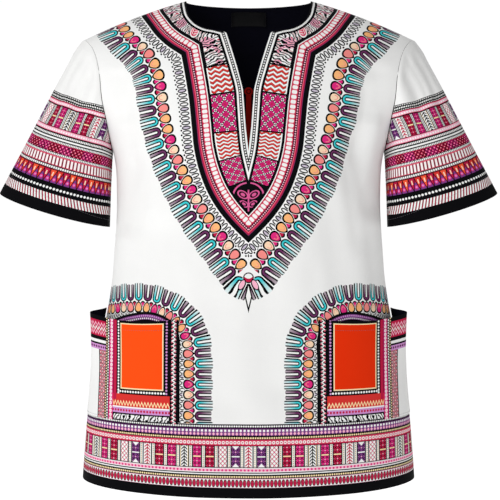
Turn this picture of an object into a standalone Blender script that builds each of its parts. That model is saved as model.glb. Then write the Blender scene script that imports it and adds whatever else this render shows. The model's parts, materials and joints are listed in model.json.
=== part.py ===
"""Dashiki shirt, filled out as it is worn: a short-sleeved pullover of printed cotton with a round neck, a chest slit
and two patch pockets that are caught in the side seams.

Metres, +Z up, the front faces -Y. The origin is where the wearer's shoulders carry the shirt: midway between the two
neck points, at their height. A place on the body cloth is given by a turn, the angle round the body from the middle of
the panel to the side seam, and a run, the length of cloth down from the shoulder seam.
"""

import math

import bmesh
import bpy
import numpy as np
from mathutils import Vector

# Cloth and seams
WALL = 0.0016  # thickness of the cloth
HEM_WALL = 0.0026  # thickness where the cloth is turned up and sewn double
HEM_TURN = 0.024  # depth of the turned hem
SEAM_GAP = 0.0003  # between two pieces at a seam
ARMHOLE_GAP = 0.0006  # between body and sleeve, where both turn away from each other
UNDERARM_GAP = 0.0010  # the same below, where the sleeve drops beside the body

# Body
BODY_LENGTH = 0.731  # from the neck point down to the hem at the side seams
HEM_DIP = 0.010  # how much longer the panels are cut in the middle
UNDERARM_RUN = 0.304  # cloth from the shoulder seam down to the underarm
SHOULDER_ROUND = 0.130  # radius over which the cloth turns from the top of the shoulder to the chest
SQUARENESS = 0.16  # how much fuller than an ellipse a level section is
SLOPE_FADE = 0.36  # run over which the slope of the shoulders dies out
NECK_HALF = 0.096  # half the width of the neck at the shoulder seam
SHOULDER_SLOPE = 0.28  # fall of the shoulder seam for each metre, at the neck
SHOULDER_DROOP = 0.633  # how much faster it falls towards the tip, for each metre squared

# Level sections of the body: height, half the width, depth of the front, depth of the back
SECTIONS = (
    (0.020, 0.302, 0.096, 0.088),
    (-0.040, 0.290, 0.102, 0.096),
    (-0.095, 0.268, 0.109, 0.105),
    (-0.146, 0.244, 0.116, 0.111),
    (-0.186, 0.2235, 0.120, 0.112),
    (-0.230, 0.2085, 0.122, 0.109),
    (-0.300, 0.2030, 0.121, 0.102),
    (-0.342, 0.2040, 0.119, 0.100),
    (-0.388, 0.2070, 0.118, 0.101),
    (-0.426, 0.2100, 0.118, 0.104),
    (-0.464, 0.2155, 0.118, 0.108),
    (-0.529, 0.2280, 0.120, 0.115),
    (-0.622, 0.2465, 0.125, 0.122),
    (-0.681, 0.2520, 0.128, 0.125),
    (-0.740, 0.2560, 0.131, 0.128),
)

# Armhole seam: run from the shoulder seam, distance from the middle on the front and on the back
ARMHOLE = (
    (0.000, 0.2575, 0.2575),
    (0.035, 0.2510, 0.2540),
    (0.070, 0.2435, 0.2490),
    (0.104, 0.2345, 0.2430),
    (0.138, 0.2270, 0.2370),
    (0.169, 0.2225, 0.2320),
    (0.220, 0.2190, 0.2250),
    (0.260, 0.2135, 0.2150),
)

# Front neck edge, from the foot of the chest slit up to the neck point: distance from the middle, height
SLIT_FOOT = -0.240
NECK_EDGE = (
    (0.0040, -0.205),
    (0.0062, -0.175),
    (0.0082, -0.149),
    (0.0170, -0.115),
    (0.0260, -0.085),
    (0.0325, -0.0640),
    (0.0380, -0.0605),
    (0.0560, -0.0575),
    (0.0715, -0.0515),
    (0.0835, -0.0415),
    (0.0915, -0.0240),
    (0.0950, -0.0085),
)
NECKLINE_LOW = -0.070  # the slit lies below this height, the round neck above it
BACK_NECK_RUN = 0.060  # cloth from the shoulder line down to the middle of the back neck

# Sleeve sections, armhole to cuff: upper edge x and z, underarm edge x and z, half the depth
SLEEVE = (
    (0.2575, -0.0620, 0.2088, -0.2370, 0.050),
    (0.2700, -0.0790, 0.2104, -0.2560, 0.054),
    (0.2810, -0.1010, 0.2114, -0.2740, 0.056),
    (0.3000, -0.1360, 0.2116, -0.2930, 0.057),
    (0.3410, -0.2145, 0.2110, -0.3200, 0.057),
    (0.3830, -0.2935, 0.2102, -0.3455, 0.057),
)
SLEEVE_RINGS = 10
CUFF_DIP = 0.010  # how much longer the sleeve is cut in front and behind than at its edges
LOOP_FADE = 0.45  # share of the sleeve over which the armhole's own outline dies out

# Pockets
POCKET_INNER = 0.102  # inner edge, from the middle
POCKET_MOUTH = -0.484  # height of the mouth
POCKET_SIDE_LIFT = 0.012  # how much the mouth rises to the side seam
POCKET_LIFT_FROM = 0.80  # where that rise starts, as a share of the width
POCKET_SAG = 0.004  # how much the mouth sags in the middle
POCKET_FOOT = -0.639  # height of the bottom edge, on the hem border
FRONT_GAPE = 0.008  # how far the mouth stands off the front
POCKET_GAP = 0.0005  # between the pocket and the front where it is sewn down
SIDE_GAPE = 0.0215  # how far it stands off beside the side seam
SIDE_GAPE_AT = 0.85  # where, as a share of the pocket's width
SIDE_GAPE_WIDTH = 0.14
FINE_FROM = 9  # the panel column beyond which the pocket has two columns for each of the panel's

# Woven label on the inside of the back neck
LABEL_WIDTH = 0.055
LABEL_HEIGHT = 0.030
LABEL_WALL = 0.0008
LABEL_RUN = 0.068  # run of its upper edge

# Soft folds on the front: top end x, z, bottom end x, z, half the width, depth (a ridge is negative)
FRONT_FOLDS = (
    (0.152, -0.190, 0.190, -0.350, 0.022, 0.0075),
    (0.118, -0.290, 0.142, -0.480, 0.026, 0.0050),
    (0.190, -0.100, 0.186, -0.200, 0.020, 0.0040),
    (0.020, -0.400, 0.034, -0.620, 0.030, 0.0040),
    (-0.168, -0.230, -0.190, -0.370, 0.022, 0.0060),
    (-0.128, -0.320, -0.146, -0.500, 0.026, 0.0040),
    (-0.190, -0.110, -0.184, -0.200, 0.020, 0.0035),
    (-0.040, -0.420, -0.058, -0.640, 0.030, 0.0035),
)
# The same on the back, with x as seen from the front
BACK_FOLDS = (
    (0.124, -0.180, 0.170, -0.350, 0.024, 0.0070),
    (0.056, -0.300, 0.078, -0.540, 0.030, 0.0060),
    (0.150, -0.400, 0.176, -0.640, 0.026, 0.0050),
    (-0.018, -0.240, -0.010, -0.470, 0.028, 0.0045),
    (-0.108, -0.200, -0.158, -0.370, 0.024, 0.0065),
    (-0.078, -0.360, -0.106, -0.620, 0.028, 0.0055),
)
# On each sleeve: share along at both ends, share round from the upper edge at both ends, half the width, depth
SLEEVE_FOLDS = (
    (0.04, 0.62, 0.33, 0.44, 0.060, 0.0065),
    (0.08, 0.78, 0.18, 0.25, 0.055, 0.0045),
)
FOLD_CLEAR = 0.30  # in radians, how far folds stay from the side seams
FOLD_TAPER = 0.22  # share of a fold over which each end dies out

# Grid of the body panels: columns in each half, rows from the hem to the underarm and over the armhole
COLUMNS = 12
LOWER_ROWS = 15
ARMHOLE_ROWS = 11
BACK_NECK_ROWS = (0.68, 0.88, 0.97, 1.0)  # rows through the curve of the back neck, as shares of its run
ROW_CLEAR = 0.007  # an even row this near to one through a corner of the neck edge is left out

NAVY = (0.012, 0.012, 0.025, 1.0)
WHITE = (0.86, 0.86, 0.85, 1.0)
CRIMSON = (0.50, 0.05, 0.14, 1.0)
ORANGE = (0.86, 0.13, 0.02, 1.0)


def smoothstep(share):
    share = min(max(share, 0.0), 1.0)
    return share * share * (3.0 - 2.0 * share)


def smooth_table(rows, at):
    """The other columns of a table at a value of its first column, on a smooth curve through the rows."""
    rows = np.array(sorted(rows), float)
    place = float(np.clip(at, rows[0, 0], rows[-1, 0]))
    slopes = np.gradient(rows[:, 1:], rows[:, 0], axis=0)
    i = int(np.clip(np.searchsorted(rows[:, 0], place) - 1, 0, len(rows) - 2))
    step = rows[i + 1, 0] - rows[i, 0]
    s = (place - rows[i, 0]) / step
    return (
        (2 * s**3 - 3 * s**2 + 1) * rows[i, 1:]
        + (s**3 - 2 * s**2 + s) * step * slopes[i]
        + (3 * s**2 - 2 * s**3) * rows[i + 1, 1:]
        + (s**3 - s**2) * step * slopes[i + 1]
    )


def ridge(x):
    """Height of the shoulder line at a distance from the middle. Inside the neck it rises in a low arch."""
    out = abs(x) - NECK_HALF
    if out >= 0:
        return -(SHOULDER_SLOPE * out + SHOULDER_DROOP * out * out)
    return SHOULDER_SLOPE * NECK_HALF / 2 * (1 - (x / NECK_HALF) ** 2)


def level(run):
    """How high a row would be with level shoulders, and how far it has turned from their top to the chest."""
    turned = min(run / SHOULDER_ROUND, math.pi / 2)
    below = max(0.0, run - SHOULDER_ROUND * math.pi / 2)
    return -SHOULDER_ROUND * (1 - math.cos(turned)) - below, math.sin(turned)


def height(x, run):
    return level(run)[0] + ridge(x) * (1 - smoothstep(run / SLOPE_FADE))


def run_at(x, z):
    """The run of the place at this distance from the middle and this height."""
    low, high = 0.0, BODY_LENGTH + SHOULDER_ROUND
    for _ in range(50):
        middle = (low + high) / 2
        low, high = (middle, high) if height(x, middle) > z else (low, middle)
    return (low + high) / 2


def turn_at(x, run):
    half_width = smooth_table(SECTIONS, level(run)[0])[0]
    return math.asin(min(1.0, x / half_width))


HEM_RUN = run_at(0.25, -BODY_LENGTH)
SLIT_RUN = run_at(0.0, SLIT_FOOT)


def armhole_rows():
    """Runs from above the underarm to the shoulder: even steps, and a row through each corner of the neck edges."""
    corners = [run_at(x, z) for x, z in NECK_EDGE if z > NECKLINE_LOW]
    corners += [BACK_NECK_RUN * share for share in BACK_NECK_ROWS]
    even = np.linspace(UNDERARM_RUN, 0.0, ARMHOLE_ROWS + 1)[1:]
    clear = [float(run) for run in even if min(abs(run - corner) for corner in corners) > ROW_CLEAR]
    return sorted(clear + corners, reverse=True)


ARMHOLE_RUNS = armhole_rows()
LOWER_RUNS = [float(run) for run in np.linspace(HEM_RUN, UNDERARM_RUN, LOWER_ROWS + 1)]
LOWER_RUNS.insert(1, HEM_RUN - HEM_TURN)


def bare_point(facing, turn, run):
    """A place on the body before its folds. facing is -1 on the front and 1 on the back."""
    row, fullness = level(run)
    half_width, front, back = smooth_table(SECTIONS, row)
    depth = front if facing < 0 else back
    x = half_width * math.sin(turn)
    y = depth * math.cos(turn) * (1 + SQUARENESS * math.sin(turn) ** 2) * fullness
    return Vector((x, facing * (y + SEAM_GAP / 2), height(x, run)))


def outward(facing, turn, run):
    """The direction out of the body, from two short steps along the cloth."""
    step = 1e-4
    low, high = max(run - step, 0.0), run + step
    across = bare_point(facing, turn + step, run) - bare_point(facing, turn - step, run)
    down = bare_point(facing, turn, high) - bare_point(facing, turn, low)
    return (across.cross(down) * facing).normalized()


def fold_depth(folds, x, z):
    """How far the folds draw the cloth in at this place."""
    total = 0.0
    for top_x, top_z, foot_x, foot_z, half_width, depth in folds:
        along = Vector((foot_x - top_x, foot_z - top_z))
        off = Vector((x - top_x, z - top_z))
        share = off.dot(along) / along.length_squared
        if not 0.0 < share < 1.0:
            continue
        beside = (off - along * share).length / half_width
        ends = smoothstep(share / FOLD_TAPER) * smoothstep((1 - share) / FOLD_TAPER)
        total += depth * ends * math.exp(-beside * beside)
    return total


def body_point(facing, turn, run):
    """A place on the body with its folds, and with the hem longer in the middle."""
    run += HEM_DIP * math.cos(turn) ** 2 * (max(0.0, run - UNDERARM_RUN) / (HEM_RUN - UNDERARM_RUN)) ** 3
    point = bare_point(facing, turn, run)
    folds = FRONT_FOLDS if facing < 0 else BACK_FOLDS
    from_seam = smoothstep((math.pi / 2 - abs(turn)) / FOLD_CLEAR)
    return point - outward(facing, turn, run) * fold_depth(folds, point.x, point.z) * from_seam


def neck_edge_x(facing, run):
    """Distance from the middle to the panel's inner edge: the slit, the neck edge, or the middle itself."""
    if facing > 0:
        return NECK_HALF * math.sqrt(max(0.0, 1 - (run / BACK_NECK_RUN) ** 2))
    if run >= SLIT_RUN:
        return 0.0
    runs = [SLIT_RUN] + [run_at(x, z) for x, z in NECK_EDGE] + [0.0]
    places = [0.0] + [x for x, z in NECK_EDGE] + [NECK_HALF]
    return float(np.interp(-run, [-r for r in runs], places))


def outer_turn(facing, run):
    """Angle of the panel's outer edge: the side seam, or the armhole above the underarm."""
    if run >= UNDERARM_RUN:
        return math.pi / 2
    seam = (UNDERARM_RUN, *[smooth_table(SECTIONS, level(UNDERARM_RUN)[0])[0]] * 2)
    x = smooth_table(ARMHOLE + (seam,), run)[0 if facing < 0 else 1]
    return turn_at(x, run)


def sleeve_section(share):
    """Upper and underarm edge and half depth of the sleeve's section, at a share of the way to the cuff."""
    rows = [(i / (len(SLEEVE) - 1), *row) for i, row in enumerate(SLEEVE)]
    top_x, top_z, low_x, low_z, depth = smooth_table(rows, share)
    return Vector((top_x, 0, top_z)), Vector((low_x, 0, low_z)), depth


def armhole_loop():
    """The armhole on the +X side as (facing, turn, run), from the underarm up the front and down the back. Its
    points are the panels' own, so that all three pieces meet in them."""
    up = [UNDERARM_RUN, *ARMHOLE_RUNS]
    front = [(-1, outer_turn(-1, run), run) for run in up]
    back = [(1, outer_turn(1, run), run) for run in up[-2:0:-1]]
    return front + back


def ellipse(section, angle, facing):
    """Place and outward direction on a sleeve section, angle 0 at the upper edge and pi at the underarm."""
    top, low, depth = section
    half = (top - low) / 2
    place = (top + low) / 2 + half * math.cos(angle) + Vector((0, facing * depth * math.sin(angle), 0))
    out = half.normalized() * math.cos(angle) / half.length
    out = out + Vector((0, facing * math.sin(angle) / depth, 0))
    return place, out.normalized()


def loop_angle(facing, turn, run):
    """The sleeve angle that lies at the same share of the armhole's height as this place on it."""
    top, low, depth = sleeve_section(0)
    half = (top - low) / 2
    share = (bare_point(facing, turn, run) - (top + low) / 2).dot(half) / half.length_squared
    return math.acos(min(1.0, max(-1.0, share)))


def seam_direction(facing, turn, run):
    """Halfway between the body's and the sleeve's own directions, so that both walls meet squarely."""
    out = outward(facing, turn, run) + ellipse(sleeve_section(0), loop_angle(facing, turn, run), facing)[1]
    if run in (0.0, UNDERARM_RUN):
        out.y = 0.0
    return out.normalized()


def sleeve_fold(share, round_share):
    total = 0.0
    for from_along, to_along, from_round, to_round, half_width, depth in SLEEVE_FOLDS:
        s = (share - from_along) / (to_along - from_along)
        if not 0.0 < s < 1.0:
            continue
        beside = (round_share - from_round - (to_round - from_round) * s) / half_width
        total += depth * smoothstep(s / FOLD_TAPER) * smoothstep((1 - s) / FOLD_TAPER) * math.exp(-beside * beside)
    return total


def sleeve_place(place_on_loop, share):
    """Place and outward direction on the +X sleeve, out from one place of the armhole."""
    facing, turn, run = place_on_loop
    angle = loop_angle(facing, turn, run)
    start, _ = ellipse(sleeve_section(0), angle, facing)
    place, out = ellipse(sleeve_section(share), angle, facing)
    gap = ARMHOLE_GAP + (UNDERARM_GAP - ARMHOLE_GAP) * smoothstep(2 * run / UNDERARM_RUN - 1)
    edge = bare_point(facing, turn, run) + Vector((gap, 0, 0))
    own = 1 - smoothstep(share / LOOP_FADE)
    out = (out * (1 - own) + seam_direction(facing, turn, run) * own).normalized()
    axis = (sleeve_section(1)[0] - sleeve_section(0)[0]).normalized()
    place += (edge - start) * own + axis * (CUFF_DIP * math.sin(angle) * share**2)
    return place - out * sleeve_fold(share, angle / math.pi), out


def between(patch, column, row):
    """The place, outward direction and thickness on a panel's own faces, at a column and row with a fraction."""
    i, j = min(int(column), len(patch[0]) - 2), min(int(row), len(patch) - 2)
    s, t = column - i, row - j
    mixed = []
    for part in range(3):
        low = patch[j][i][part] * (1 - s) + patch[j][i + 1][part] * s
        high = patch[j + 1][i][part] * (1 - s) + patch[j + 1][i + 1][part] * s
        mixed.append(low * (1 - t) + high * t)
    return mixed


def crossing(count, reach, wanted):
    """Where, from 0 to count, a steadily rising reach comes to the wanted value."""
    low, high = 0.0, float(count)
    for _ in range(40):
        middle = (low + high) / 2
        low, high = (middle, high) if reach(middle) < wanted else (low, middle)
    return (low + high) / 2


def steps_between(low, high):
    """Both ends and the whole numbers between them."""
    inner = [float(n) for n in range(math.ceil(low), math.floor(high) + 1) if low + 0.2 < n < high - 0.2]
    return [low, *inner, high]


def cloth_wall(name, patches, material, collection):
    """A closed wall from one or more grids of (place, outward direction, thickness), merged where they meet. Each wall
    is thickened along the directions given, which neighbours share at a seam, so that their edges stay parallel."""
    bm = bmesh.new()
    inward = bm.verts.layers.float_vector.new("inward")
    for patch in patches:
        rows, columns = len(patch), len(patch[0])
        made = bmesh.ops.create_grid(bm, x_segments=columns - 1, y_segments=rows - 1, size=1.0)
        for vert in made["verts"]:
            i = round((vert.co.x + 1) / 2 * (columns - 1))
            j = round((vert.co.y + 1) / 2 * (rows - 1))
            place, out, thickness = patch[j][i]
            vert.co = place
            vert[inward] = -out * thickness
    bmesh.ops.remove_doubles(bm, verts=bm.verts, dist=2e-5)
    outer = list(bm.faces)
    made = bmesh.ops.extrude_face_region(bm, geom=outer, use_keep_orig=True)
    for item in made["geom"]:
        if isinstance(item, bmesh.types.BMVert):
            item.co += item[inward]
    bmesh.ops.recalc_face_normals(bm, faces=bm.faces)
    mesh = bpy.data.meshes.new(name)
    bm.to_mesh(mesh)
    bm.free()
    mesh.materials.append(material)
    mesh.shade_smooth()
    mesh.set_sharp_from_angle(angle=math.radians(50))
    obj = bpy.data.objects.new(name, mesh)
    collection.objects.link(obj)
    return obj


def cloth_material(name, colour):
    material = bpy.data.materials.new(name)
    material.use_nodes = True
    shader = material.node_tree.nodes["Principled BSDF"]
    shader.inputs["Base Color"].default_value = colour
    shader.inputs["Roughness"].default_value = 0.75
    shader.inputs["Metallic"].default_value = 0.0
    return material


def body_patches(facing):
    """The two halves of a body panel. They share the middle column wherever the neck edge doesn't part them."""
    patches = []
    for side in (-1, 1):
        patch = []
        for run in LOWER_RUNS + ARMHOLE_RUNS:
            inner, outer = turn_at(neck_edge_x(facing, run), run), outer_turn(facing, run)
            thickness = HEM_WALL if run == HEM_RUN else WALL
            row = []
            for i in range(COLUMNS + 1):
                turn = inner + (outer - inner) * i / COLUMNS
                out = outward(facing, side * turn, run)
                if i == COLUMNS and run < UNDERARM_RUN + 1e-6:
                    out = seam_direction(facing, turn, run)
                    out.x *= side
                row.append((body_point(facing, side * turn, run), out, thickness))
            patch.append(row)
        patches.append(patch)
    return patches


def sleeve_patch(side):
    loop = armhole_loop()
    patch = []
    for ring in range(SLEEVE_RINGS + 1):
        share = ring / SLEEVE_RINGS
        thickness = HEM_WALL if ring == SLEEVE_RINGS else WALL
        row = []
        for place_on_loop in loop + loop[:1]:
            place, out = sleeve_place(place_on_loop, share)
            row.append((Vector((side * place.x, place.y, place.z)), Vector((side * out.x, out.y, out.z)), thickness))
        patch.append(row)
    return patch


def pocket_patch(side):
    """The pocket lies on the front's own faces, a seam's gap clear of them, and stands off them towards its mouth."""
    panel = body_patches(-1)[0 if side < 0 else 1]
    lower = len(LOWER_RUNS) - 1
    foot, mouth = (crossing(lower, lambda row: between(panel, 0, row)[0].z, z) for z in (POCKET_FOOT, POCKET_MOUTH))
    rows = steps_between(foot, mouth)
    edge = [crossing(COLUMNS, lambda column, row=row: side * between(panel, column, row)[0].x, POCKET_INNER)
            for row in rows]
    whole = [float(n) for n in range(math.ceil(max(edge)), COLUMNS + 1)]
    whole = sorted(whole + [n + 0.5 for n in whole if FINE_FROM <= n < COLUMNS])
    patch = []
    for row, inner in zip(rows, edge):
        raised = ((row - foot) / (mouth - foot)) ** 1.5
        line = []
        for column in [inner] + whole:
            across = (column - inner) / (COLUMNS - inner)
            place, out, _ = between(panel, column, row)
            stand_off = FRONT_GAPE * math.sin(math.pi * across)
            stand_off += SIDE_GAPE * math.exp(-(((across - SIDE_GAPE_AT) / SIDE_GAPE_WIDTH) ** 2))
            stand_off *= raised * smoothstep((1 - across) / (1 - SIDE_GAPE_AT))
            place = place + out * (POCKET_GAP + WALL + stand_off)
            lift = POCKET_SIDE_LIFT * smoothstep((across - POCKET_LIFT_FROM) / (1 - POCKET_LIFT_FROM))
            sag = POCKET_SAG * math.sin(math.pi * min(1.0, across / POCKET_LIFT_FROM))
            place.z += (lift - sag) * raised
            line.append((place, out, WALL))
        patch.append(line)
    return patch


def label_patch():
    """The label lies on the back's own inner faces, a seam's gap clear of them."""
    first = len(LOWER_RUNS)
    foot, top = (first + crossing(len(ARMHOLE_RUNS) - 1, lambda n: -np.interp(n, range(len(ARMHOLE_RUNS)),
                 ARMHOLE_RUNS), -run) for run in (LABEL_RUN + LABEL_HEIGHT, LABEL_RUN))
    left, right = body_patches(1)
    patch = []
    for row in steps_between(foot, top):
        edge = crossing(COLUMNS, lambda column, row=row: between(right, column, row)[0].x, LABEL_WIDTH / 2)
        line = [between(left, edge, row), between(right, 0.0, row), between(right, edge, row)]
        patch.append([(place - out * (WALL + SEAM_GAP), out, LABEL_WALL) for place, out, _ in line])
    return patch


def build():
    for obj in list(bpy.data.objects):
        bpy.data.objects.remove(obj, do_unlink=True)
    collection = bpy.data.collections.new("dashiki_shirt")
    bpy.context.scene.collection.children.link(collection)
    cotton = cloth_material("white_cotton", WHITE)
    border = cloth_material("printed_cotton", CRIMSON)
    pocket_cloth = cloth_material("pocket_cotton", ORANGE)
    navy = cloth_material("woven_label", NAVY)
    cloth_wall("front", body_patches(-1), cotton, collection)
    cloth_wall("back", body_patches(1), cotton, collection)
    for side, name in ((-1, "left"), (1, "right")):
        cloth_wall(f"sleeve_{name}", [sleeve_patch(side)], border, collection)
        cloth_wall(f"pocket_{name}", [pocket_patch(side)], pocket_cloth, collection)
    cloth_wall("neck_label", [label_patch()], navy, collection)


build()
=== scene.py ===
"""Dashiki shirt dressed for its picture: printed cotton on the curved sheets of its solids, with hems, stitching and
creases. Metres, +Z up, the front faces -Y. Printed patterns are measured in millimetres of cloth."""

import json
import math

import bpy
import numpy as np
from bpy.props import FloatProperty, FloatVectorProperty, PointerProperty
from mathutils import Matrix

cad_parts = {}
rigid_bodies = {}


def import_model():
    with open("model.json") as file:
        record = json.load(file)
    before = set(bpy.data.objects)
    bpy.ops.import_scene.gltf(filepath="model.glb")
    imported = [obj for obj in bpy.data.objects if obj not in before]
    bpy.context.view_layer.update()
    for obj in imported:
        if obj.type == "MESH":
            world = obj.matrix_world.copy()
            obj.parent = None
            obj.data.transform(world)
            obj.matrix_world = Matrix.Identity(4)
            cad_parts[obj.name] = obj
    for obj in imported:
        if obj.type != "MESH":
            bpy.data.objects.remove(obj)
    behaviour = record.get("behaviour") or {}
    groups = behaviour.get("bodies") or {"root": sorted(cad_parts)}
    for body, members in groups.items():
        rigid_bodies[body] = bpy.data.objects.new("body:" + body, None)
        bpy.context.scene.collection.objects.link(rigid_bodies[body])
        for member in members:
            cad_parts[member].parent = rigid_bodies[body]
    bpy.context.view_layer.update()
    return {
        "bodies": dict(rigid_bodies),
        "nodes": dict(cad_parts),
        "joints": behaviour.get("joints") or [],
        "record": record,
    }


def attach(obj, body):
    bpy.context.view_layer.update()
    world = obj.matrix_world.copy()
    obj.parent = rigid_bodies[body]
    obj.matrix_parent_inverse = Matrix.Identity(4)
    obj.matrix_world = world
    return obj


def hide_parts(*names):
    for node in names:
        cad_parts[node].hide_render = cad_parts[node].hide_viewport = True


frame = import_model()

bl_info = {
    "name": "Dashiki Shirt",
    "version": (1, 0, 0),
    "blender": (4, 5, 0),
    "location": "3D View > Sidebar > Dashiki",
    "description": "Builds a dashiki shirt of printed cotton on its packed solids",
    "category": "Add Mesh",
}

# Seams and cut, as in the solids
SEAM_GAP = 0.0003
ARMHOLE_GAP = 0.0006
UNDERARM_GAP = 0.0010
HEM_RUN = 0.8052
HEM_DIP = 0.010
UNDERARM_RUN = 0.304
SHOULDER_ROUND = 0.130
SQUARENESS = 0.16
SLOPE_FADE = 0.36
NECK_HALF = 0.096
SHOULDER_SLOPE = 0.28
SHOULDER_DROOP = 0.633
BACK_NECK_RUN = 0.060
CUFF_DIP = 0.010
LOOP_FADE = 0.45
FOLD_CLEAR = 0.30
FOLD_TAPER = 0.22

SECTIONS = (
    (0.020, 0.302, 0.096, 0.088),
    (-0.040, 0.290, 0.102, 0.096),
    (-0.095, 0.268, 0.109, 0.105),
    (-0.146, 0.244, 0.116, 0.111),
    (-0.186, 0.2235, 0.120, 0.112),
    (-0.230, 0.2085, 0.122, 0.109),
    (-0.300, 0.2030, 0.121, 0.102),
    (-0.342, 0.2040, 0.119, 0.100),
    (-0.388, 0.2070, 0.118, 0.101),
    (-0.426, 0.2100, 0.118, 0.104),
    (-0.464, 0.2155, 0.118, 0.108),
    (-0.529, 0.2280, 0.120, 0.115),
    (-0.622, 0.2465, 0.125, 0.122),
    (-0.681, 0.2520, 0.128, 0.125),
    (-0.740, 0.2560, 0.131, 0.128),
)
ARMHOLE = (
    (0.000, 0.2575, 0.2575),
    (0.035, 0.2510, 0.2540),
    (0.070, 0.2435, 0.2490),
    (0.104, 0.2345, 0.2430),
    (0.138, 0.2270, 0.2370),
    (0.169, 0.2225, 0.2320),
    (0.220, 0.2190, 0.2250),
    (0.260, 0.2135, 0.2150),
)
SLIT_EDGE = ((0.0000, -0.240), (0.0040, -0.205), (0.0062, -0.175), (0.0082, -0.149), (0.0170, -0.115),
             (0.0260, -0.085), (0.0325, -0.0640))
NECK_EDGE = ((0.0325, -0.0640), (0.0380, -0.0605), (0.0560, -0.0575), (0.0715, -0.0515), (0.0835, -0.0415),
             (0.0915, -0.0240), (0.0950, -0.0085), (0.0960, 0.0))
SLEEVE = (
    (0.2575, -0.0620, 0.2088, -0.2370, 0.050),
    (0.2700, -0.0790, 0.2104, -0.2560, 0.054),
    (0.2810, -0.1010, 0.2114, -0.2740, 0.056),
    (0.3000, -0.1360, 0.2116, -0.2930, 0.057),
    (0.3410, -0.2145, 0.2110, -0.3200, 0.057),
    (0.3830, -0.2935, 0.2102, -0.3455, 0.057),
)
POCKET_INNER = 0.102
POCKET_MIDDLE = 0.16
POCKET_MOUTH = -0.484
POCKET_SIDE_LIFT = 0.012
POCKET_LIFT_FROM = 0.80
POCKET_SAG = 0.004
FRONT_GAPE = 0.008
SIDE_GAPE = 0.0215
SIDE_GAPE_AT = 0.85
SIDE_GAPE_WIDTH = 0.14
LABEL_WIDTH = 0.055
LABEL_HEIGHT = 0.030
LABEL_RUN = 0.068

# Sizes that only the cloth has: the hem border's height, the pocket's foot, and the walls of the label
BORDER_RISE = 0.1016
POCKET_HEM = -0.6315
LABEL_WALL = 0.0005
LABEL_HEM_WALL = 0.0009
# Rows of stitches: metres in from the hem, shoulder, neck and pocket edges, and radians in from the armhole
HEM_ROW = 0.022
ARMHOLE_ROW = 0.018
SHOULDER_ROW = 0.0045
NECK_ROW = 0.0035
POCKET_FOOT_ROW = 0.003
POCKET_MOUTH_ROW = 0.014
# Rows of stitches as shares of the way down the sleeve and across the pocket, and how far out the shoulder row runs
CUFF_ROW = 0.925
POCKET_ROW = 0.018
POCKET_ROW_END = 0.985
SHOULDER_END = 0.252
# Millimetres of cloth: how far each print reaches from its guide line or edge, how far down the arch starts, how high
# the pocket's turned mouth starts, and how far down the pocket's foot lies
FRINGE_REACH = 44.0
ARCH_REACH = 62.0
ARCH_FROM = 480.0
PANEL_FROM = 3.2
SLEEVE_BORDER = 183.0
POCKET_TURN = 138.0
POCKET_FOOT_DOWN = 709.0
# Millimetres that a guide line runs on past its ends, the distance that stands for no line, and the pace along a line
RUN_ON = 400.0
NO_LINE = -900.0
PACE = 15.0
# Faces across half a panel, rows of a sleeve, and the sleeve's row on which distances round it are measured
PANEL_COLUMNS = 60
SLEEVE_ROWS = 57
MEASURED_ROW = 42
# The stage: the floor's own light, the camera, and each light's place, aim, size and share of the main light's power
FLOOR_GLOW = 0.72
CAMERA_PLACE = (0.0022, -1.9, -0.383)
CAMERA_LENS = 88.5
LIGHTS = (
    ("key_light", (-1.7, -2.2, 0.9), (0.0, 0.0, -0.30), 1.3, 1.0),
    ("fill_light", (1.9, -1.6, 0.1), (0.0, 0.0, -0.35), 1.6, 0.03),
    ("top_light", (0.0, 0.4, 2.0), (0.0, 0.0, -0.2), 1.2, 0.22),
)

# Main folds of the solids, then the finer creases: top end x, z, bottom end x, z, half the width, depth
FRONT_FOLDS = (
    (0.152, -0.190, 0.190, -0.350, 0.022, 0.0075),
    (0.118, -0.290, 0.142, -0.480, 0.026, 0.0050),
    (0.190, -0.100, 0.186, -0.200, 0.020, 0.0040),
    (0.020, -0.400, 0.034, -0.620, 0.030, 0.0040),
    (-0.168, -0.230, -0.190, -0.370, 0.022, 0.0060),
    (-0.128, -0.320, -0.146, -0.500, 0.026, 0.0040),
    (-0.190, -0.110, -0.184, -0.200, 0.020, 0.0035),
    (-0.040, -0.420, -0.058, -0.640, 0.030, 0.0035),
)
FRONT_CREASES = (
    (0.176, -0.120, 0.158, -0.270, 0.010, 0.0032),
    (0.196, -0.160, 0.176, -0.300, 0.009, -0.0024),
    (0.136, -0.210, 0.168, -0.400, 0.012, 0.0030),
    (0.178, -0.330, 0.196, -0.470, 0.012, 0.0028),
    (0.092, -0.380, 0.104, -0.560, 0.014, 0.0018),
    (-0.182, -0.150, -0.170, -0.290, 0.010, 0.0018),
    (-0.150, -0.260, -0.176, -0.430, 0.012, 0.0018),
    (-0.100, -0.400, -0.110, -0.520, 0.014, 0.0014),
    (0.052, -0.560, 0.060, -0.730, 0.018, 0.0020),
    (-0.016, -0.580, -0.020, -0.735, 0.020, 0.0018),
)
BACK_FOLDS = (
    (0.124, -0.180, 0.170, -0.350, 0.024, 0.0070),
    (0.056, -0.300, 0.078, -0.540, 0.030, 0.0060),
    (0.150, -0.400, 0.176, -0.640, 0.026, 0.0050),
    (-0.018, -0.240, -0.010, -0.470, 0.028, 0.0045),
    (-0.108, -0.200, -0.158, -0.370, 0.024, 0.0065),
    (-0.078, -0.360, -0.106, -0.620, 0.028, 0.0055),
)
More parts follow.
